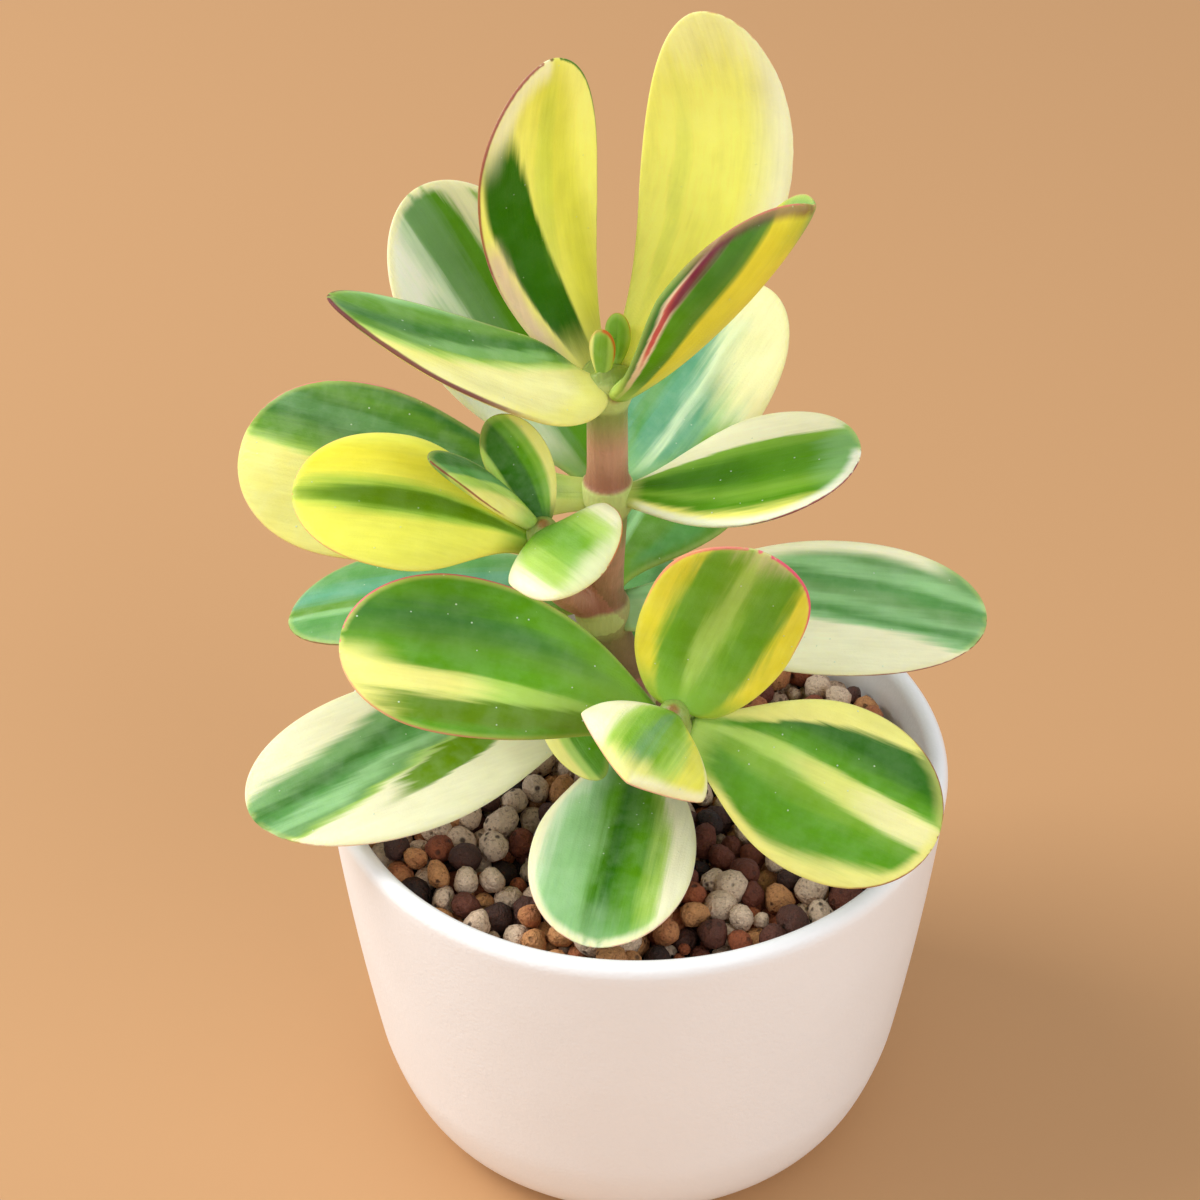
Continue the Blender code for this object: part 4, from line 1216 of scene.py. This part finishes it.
@dataclass
class Pot:
    """The turned ceramic pot."""

    height: float = 70.0
    rim_radius: float = 50.0
    wall_foot: float = 44.3
    corner_height: float = 19.0
    base_radius: float = 29.5
    wall: float = 3.3
    floor: float = 5.0
    lip_depth: float = 2.2
    bulge: float = 0.5
    corner_ease: int = 6
    corner_steps: int = 28
    wall_start: float = 0.02
    outer_steps: int = 34
    inner_steps: int = 30
    lip_steps: int = 18
    sides: int = 256
    relief: float = 0.00022

    def wall_line(self, inset: float, low: float, high: float, count: int) -> np.ndarray:
        """Radius and height along the wall: a straight taper with a slight parabolic bulge."""
        share = np.linspace(low, high, count)
        top = self.height - self.lip_depth
        radius = self.wall_foot + (self.rim_radius - self.wall_foot) * share
        radius = radius + 4 * self.bulge * share * (1 - share) - inset
        return np.stack([radius, self.corner_height + (top - self.corner_height) * share], axis=-1)

    def profile(self) -> np.ndarray:
        """Radius and height from the middle of the base, out and up, over the lip and down inside.

        The foot's round is a quarter ellipse that starts along the wall's slope, the wall a tapering
        line and the lip half an ellipse.
        """
        turn = np.linspace(0, np.pi / 2, self.corner_steps)[:, None]
        reach = self.wall_foot - self.base_radius
        slope = (self.rim_radius - self.wall_foot + 4 * self.bulge) / (
            self.height - self.lip_depth - self.corner_height)
        ease = slope * self.corner_height * np.cos(turn) * np.sin(turn) ** self.corner_ease
        corner = np.hstack([self.base_radius + reach * np.sin(turn) - ease,
                            self.corner_height * (1 - np.cos(turn))])
        outer = self.wall_line(0.0, self.wall_start, 1.0, self.outer_steps)
        half = np.linspace(0, np.pi, self.lip_steps)[1:-1, None]
        middle = self.rim_radius - self.wall / 2
        lip = np.hstack([middle + self.wall / 2 * np.cos(half),
                         self.height - self.lip_depth + self.lip_depth * np.sin(half)])
        inner = self.wall_line(self.wall, 1.0, self.wall_start, self.inner_steps)
        inside = np.hstack([self.base_radius - self.wall + reach * np.sin(turn),
                            self.floor + (self.corner_height - self.floor) * (1 - np.cos(turn))])[::-1]
        base = np.stack([np.array([0.4, 0.8, 0.97]) * self.base_radius, np.zeros(3)], axis=-1)
        bottom = np.stack([np.array([0.7, 0.3]) * (self.base_radius - self.wall), np.full(2, self.floor)],
                          axis=-1)
        return np.vstack([base, corner, outer, lip, inner, inside, bottom])

    def build(self) -> bpy.types.Object:
        """Builds the pot: the profile is carried round the pot's axis."""
        line = self.profile()
        turn = full_turn(self.sides)
        x = line[:, :1] * np.cos(turn)
        y = line[:, :1] * np.sin(turn)
        z = np.broadcast_to(line[:, 1:], x.shape)
        rings = np.stack([x, y, z], axis=-1).reshape(-1, 3)
        points = np.vstack([rings, [[0, 0, 0], [0, 0, self.floor]]])
        piece = make_piece("round_pot", points, tube_faces(len(line), self.sides))
        piece.data.materials.append(self.finish())
        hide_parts("pot")
        return piece

    def finish(self) -> bpy.types.Material:
        """A clean white satin glaze with faint clouds and a bare ring under the foot."""
        glaze = Surface("white_glaze")
        place = glaze.place()
        cloud = glaze.noise(place, 38, 3)
        colour = glaze.shaded(Tint.GLAZE, 0.965 + cloud * 0.05)
        bare = glaze.step(glaze.split(place)[2], 0.0010, 0.0003)
        colour = glaze.mix(bare, colour, Tint.BARE_CLAY)
        height = glaze.noise(place, 90, 2) * 0.7 + glaze.noise(place, 1400, 2) * 0.3
        return glaze.dress(colour, 0.30 + cloud * 0.14 + bare * 0.35, (height, self.relief),
                           Coat_Weight=0.12, Coat_Roughness=0.2)


# Substrate

@dataclass(frozen=True)
class Stone:
    """A porous stone: the colours that its pellets take, how dark the painted shade in its pores is, its
    roughness.
    """

    name: str
    stops: tuple[tuple[float, Tint], ...]
    pore_shade: float
    rough: float
    relief: float = 0.0009

    def finish(self) -> bpy.types.Material:
        """Colours by each pellet's own value, with grain, open pores painted dark as their shade, brown
        specks and a crust.
        """
        stone = Surface(self.name)
        place = stone.place()
        blotch = stone.noise(place, 420, 3)
        colour = stone.ramp(stone.stored("pellet_tint") + (blotch - 0.5) * 0.45, self.stops)
        grain = stone.noise(place, 2600, 4, 0.6)
        colour = stone.shaded(colour, 0.62 + grain * 0.72)
        near, lottery = stone.cells(place, 520)
        pore = stone.step(near, 0.3, 0.12) * stone.step(lottery, 0.45, 0.55)
        # painted shade: the open pores are darkened as if shade fell in them
        colour = stone.mix(pore * self.pore_shade, colour, Tint.PIT)
        speck = stone.step(stone.noise(place, 1700, 2), 0.58, 0.68)
        colour = stone.mix(speck * 0.45, colour, Tint.BRICK)
        height = grain * 0.35 + stone.noise(place, 900, 3, 0.55) * 1.3 - pore * 0.6
        return stone.dress(colour, self.rough + grain * 0.1, (height, self.relief))


class Pebble(Enum):
    """The kinds of pellet in the mix, each with its share of the bed and its stone."""

    PUMICE = (0.38, Stone("pumice", ((0.0, T.PUMICE_GREY), (0.35, T.PUMICE), (1.0, T.PUMICE)), 0.85, 0.75))
    CLAY = (0.34, Stone("baked_clay", ((0.0, T.BRICK), (0.3, T.TERRACOTTA), (0.65, T.SAND), (1.0, T.SAND)),
                        0.75, 0.7))
    DARK = (0.28, Stone("dark_clay", ((0.0, T.SOOT), (0.4, T.UMBER), (0.8, T.BRICK)), 0.5, 0.6))


@dataclass
class Substrate:
    """The bed of loose round pellets, with a dark bed under it that stands in for the shade in the gaps
    between them.
    """

    bed_top: float = 58.6
    bed_depth: float = 8.0
    bed_rings: int = 60
    bed_sides: int = 160
    inner_radius: float = 45.2
    stem_place: Pair = (1.6, 9.8)
    stem_radius: float = 4.2
    count: int = 760
    main_share: float = 0.72
    crown: float = 66.4
    divisions: int = 3
    settle_steps: int = 170
    drop: float = 0.16
    push_ease: float = 0.8
    lump_turn: float = 3.1
    lump_size: float = 0.085
    seed: int = 31
    gap_shade: Stone = Stone("gap_shade", ((0.0, Tint.SOOT), (1.0, Tint.UMBER)), 0.8, 0.8)

    def sizes(self, draw: np.random.Generator) -> np.ndarray:
        """Pellet radii: mostly about 2.3 mm, with some smaller ones and some very small ones."""
        main = draw.normal(2.25, 0.28, self.count)
        small = draw.uniform(0.85, 1.5, self.count)
        return np.where(draw.random(self.count) < self.main_share, np.clip(main, 1.6, 3.0), small)

    def settle(self, radius: np.ndarray, draw: np.random.Generator) -> np.ndarray:
        """Lets the pellets settle into a packed bed.

        Each step lowers all the pellets a little, pushes overlapping pairs apart by half their
        overlap each, and pushes them off the bed, the wall and the stem.
        """
        turn = draw.uniform(0, 2 * np.pi, self.count)
        out = (self.inner_radius - 2) * np.sqrt(draw.random(self.count))
        high = self.bed_top + draw.uniform(1, 12, self.count)
        place = np.stack([out * np.cos(turn), out * np.sin(turn), high], axis=-1)
        reach = radius[:, None] + radius[None]
        np.fill_diagonal(reach, 0)
        stem = np.array(self.stem_place)
        for _ in range(self.settle_steps):
            place[:, 2] -= self.drop
            for _ in range(2):
                apart = place[:, None] - place[None]
                gap = np.sqrt((apart**2).sum(axis=-1)) + 1e-6
                push = np.clip(reach - gap, 0, None) / gap * 0.5
                place += (apart * push[..., None]).sum(axis=1) * self.push_ease
                place[:, 2] = np.maximum(place[:, 2], self.bed_top + 0.5 * radius)
                flat = np.linalg.norm(place[:, :2], axis=1)
                place[:, :2] *= np.minimum(1, (self.inner_radius - radius) / np.maximum(flat, 1e-6))[:, None]
                beside = place[:, :2] - stem
                near = np.linalg.norm(beside, axis=1)
                clear = self.stem_radius + radius
                place[:, :2] = stem + beside * np.maximum(1, clear / np.maximum(near, 1e-6))[:, None]
        place[:, 2] = np.minimum(place[:, 2], self.crown - radius)
        return place

    def ball(self) -> tuple[np.ndarray, np.ndarray]:
        """Points and quads of a unit ball made from a cube whose faces are cut into a few squares.

        A place on the cube from -1 to 1 is spread by a tangent and then brought to length 1.
        """
        count = self.divisions
        steps = np.tan(np.linspace(-1, 1, count + 1) * np.pi / 4)
        first, second = np.meshgrid(steps, steps, indexing="ij")
        flat = np.stack([first, second, np.ones_like(first)], axis=-1).reshape(-1, 3)
        sides = [flat[:, order] * sign for order in ((0, 1, 2), (2, 0, 1), (1, 2, 0)) for sign in (1, -1)]
        cell = (np.arange(count)[:, None] * (count + 1) + np.arange(count)).ravel()
        quad = np.stack([cell, cell + count + 1, cell + count + 2, cell + 1], axis=-1)
        blocks = [(quad if index % 2 == 0 else quad[:, ::-1]) + index * len(flat) for index in range(6)]
        points, inverse = np.unique(np.round(np.vstack(sides), 6), axis=0, return_inverse=True)
        return unit(points), inverse.ravel()[np.vstack(blocks)]

    def shapes(self, radius: np.ndarray, place: np.ndarray, draw: np.random.Generator) -> np.ndarray:
        """Points of every pellet.

        Each pellet is the ball stretched a little along three turned axes, with three broad dents
        and swellings, each a cosine of the place along a random direction.
        """
        ball, _ = self.ball()
        frames = np.linalg.qr(draw.normal(size=(self.count, 3, 3)))[0]
        stretch = draw.uniform(0.88, 1.08, (self.count, 1, 3))
        lobes = unit(draw.normal(size=(self.count, 3, 3)))
        turns = self.lump_turn * np.einsum("pk,nlk->npl", ball, lobes)
        turns = turns + draw.uniform(0, 6.28, (self.count, 1, 3))
        lumps = 1 + self.lump_size * np.cos(turns).sum(axis=-1, keepdims=True)
        local = ball[None] * stretch * lumps
        return np.einsum("npk,nkj->npj", local, frames) * radius[:, None, None] + place[:, None]

    def build(self) -> list[bpy.types.Object]:
        """Builds the dark bed of painted gap shade and the pellets on it, one piece for each kind."""
        draw = np.random.default_rng(self.seed)
        radius = self.sizes(draw)
        place = self.settle(radius, draw)
        points = self.shapes(radius, place, draw)
        _, quads = self.ball()
        tint = draw.random(self.count)
        lot = draw.random(self.count)
        limits = np.cumsum([kind.value[0] for kind in Pebble])
        chosen = np.searchsorted(limits, lot).clip(0, len(Pebble) - 1)
        pieces = [self.build_bed()]
        for index, kind in enumerate(Pebble):
            mine = points[chosen == index]
            shift = np.arange(len(mine))[:, None, None] * points.shape[1]
            faces = (quads[None] + shift).reshape(-1, 4)
            piece = make_piece(kind.name.lower() + "_pellets", mine.reshape(-1, 3), [faces])
            set_attribute(piece.data, "pellet_tint", np.repeat(tint[chosen == index], points.shape[1]))
            piece.data.materials.append(kind.value[1].finish())
            pieces.append(piece)
        return pieces

    def build_bed(self) -> bpy.types.Object:
        """Builds the dark bed under the pellets, painted as the shade in the gaps between them: a closed disc
        with a rough top.

        The top's height is the bed's plus a few sines of the place, and its edge meets the pot.
        """
        share = np.linspace(0.02, 1, self.bed_rings)[:, None]
        turn = full_turn(self.bed_sides)[None]
        x = self.inner_radius * share * np.cos(turn)
        y = self.inner_radius * share * np.sin(turn)
        z = self.bed_top + 0.5 * np.sin(1.9 * x) * np.sin(2.1 * y) + 0.4 * np.sin(0.9 * x + 1.3 * y)
        top = np.stack([x, y, z], axis=-1).reshape(-1, 3)
        low = top[-self.bed_sides:] - (0, 0, self.bed_depth)
        ends = [[0, 0, self.bed_top], [0, 0, self.bed_top - self.bed_depth]]
        faces = tube_faces(self.bed_rings + 1, self.bed_sides)
        # painted shade: this dark disc shows between the pellets as the shade in the gaps
        piece = make_piece("gap_shade_bed", np.vstack([top, low, ends]), faces)
        piece.data.materials.append(self.gap_shade.finish())
        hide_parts("substrate")
        return piece


# Studio

@dataclass(frozen=True)
class Lamp:
    """A square area light that looks at the plant's middle. Lengths are in metres."""

    name: str
    place: Point
    size: float
    power: float
    colour: Point
    aim_height: float = 0.10

    def build(self) -> None:
        """Adds the light, turned from its place towards the plant."""
        data = bpy.data.lights.new(self.name, "AREA")
        data.shape = "SQUARE"
        data.size = self.size
        data.energy = self.power
        data.color = self.colour
        lamp = new_object(self.name, data)
        x, y, z = self.place
        tilt = np.arctan2(np.hypot(x, y), z - self.aim_height)
        lamp.location = self.place
        lamp.rotation_euler = (0.0, float(tilt), float(np.arctan2(y, x)))


@dataclass
class Studio:
    """The plain floor, the soft lights and the camera at the photograph's angle, in metres."""

    lens: float = 90.0
    sensor: float = 36.0
    camera_place: Point = (0.0, -0.36804, 0.38433)
    camera_tilt: float = 52.3815
    shift: float = -0.03125
    floor_size: float = 3.0
    sky: Row = (0.97, 0.98, 1.0, 1.0)
    sky_strength: float = 0.63
    lamps: tuple[Lamp, ...] = (
        Lamp("key", (-0.88, 0.12, 0.95), 0.7, 12.8, (1.0, 0.985, 0.95)),
        Lamp("fill", (0.70, -0.75, 0.65), 0.9, 5.4, (0.95, 0.98, 1.0)),
        Lamp("side", (-0.95, -0.15, 0.22), 0.5, 2.2, (0.86, 0.95, 1.0)),
    )

    def build_floor(self) -> None:
        """Lays a plain pale floor at the pot's base."""
        half = self.floor_size
        mesh = bpy.data.meshes.new("floor")
        corners = [(-half, -half, 0), (half, -half, 0), (half, half, 0), (-half, half, 0)]
        mesh.from_pydata(corners, [], [(0, 1, 2, 3)])
        new_object("floor", mesh)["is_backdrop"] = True
        mesh.materials.append(Surface("floor_paint").dress(Tint.FLOOR, 0.8))

    def build_surround(self) -> None:
        """Sets the pale light that comes from all round."""
        world = bpy.data.worlds.new("surround")
        bpy.context.scene.world = world
        world.use_nodes = True
        surround = world.node_tree.nodes["Background"]
        surround.inputs[0].default_value = self.sky
        surround.inputs[1].default_value = self.sky_strength

    def build_camera(self) -> None:
        """Places the camera and sets the plain view transform."""
        data = bpy.data.cameras.new("camera")
        data.lens = self.lens
        data.sensor_width = self.sensor
        data.shift_x = self.shift
        data.clip_start = 0.01
        camera = new_object("camera", data)
        camera.location = self.camera_place
        camera.rotation_euler = (float(np.radians(self.camera_tilt)), 0.0, 0.0)
        bpy.context.scene.camera = camera
        bpy.context.scene.view_settings.view_transform = "Standard"

    def build(self) -> None:
        """Builds the studio."""
        self.build_floor()
        for lamp in self.lamps:
            lamp.build()
        self.build_surround()
        self.build_camera()


def corners() -> list[list[float]]:
    """The whole object's lowest and highest corners as plain lists."""
    return [[float(part) for part in corner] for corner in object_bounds()]


def main() -> None:
    logging.basicConfig(level=logging.INFO, format="%(name)s: %(message)s")
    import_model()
    Studio().build()
    pieces = [Pot().build(), *Substrate().build(), Stem().build(), *Foliage().build()]
    for piece in pieces:
        LOG.info("%s: %d faces", piece.name, len(piece.data.polygons))
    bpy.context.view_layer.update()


if __name__ == "__main__":
    main()
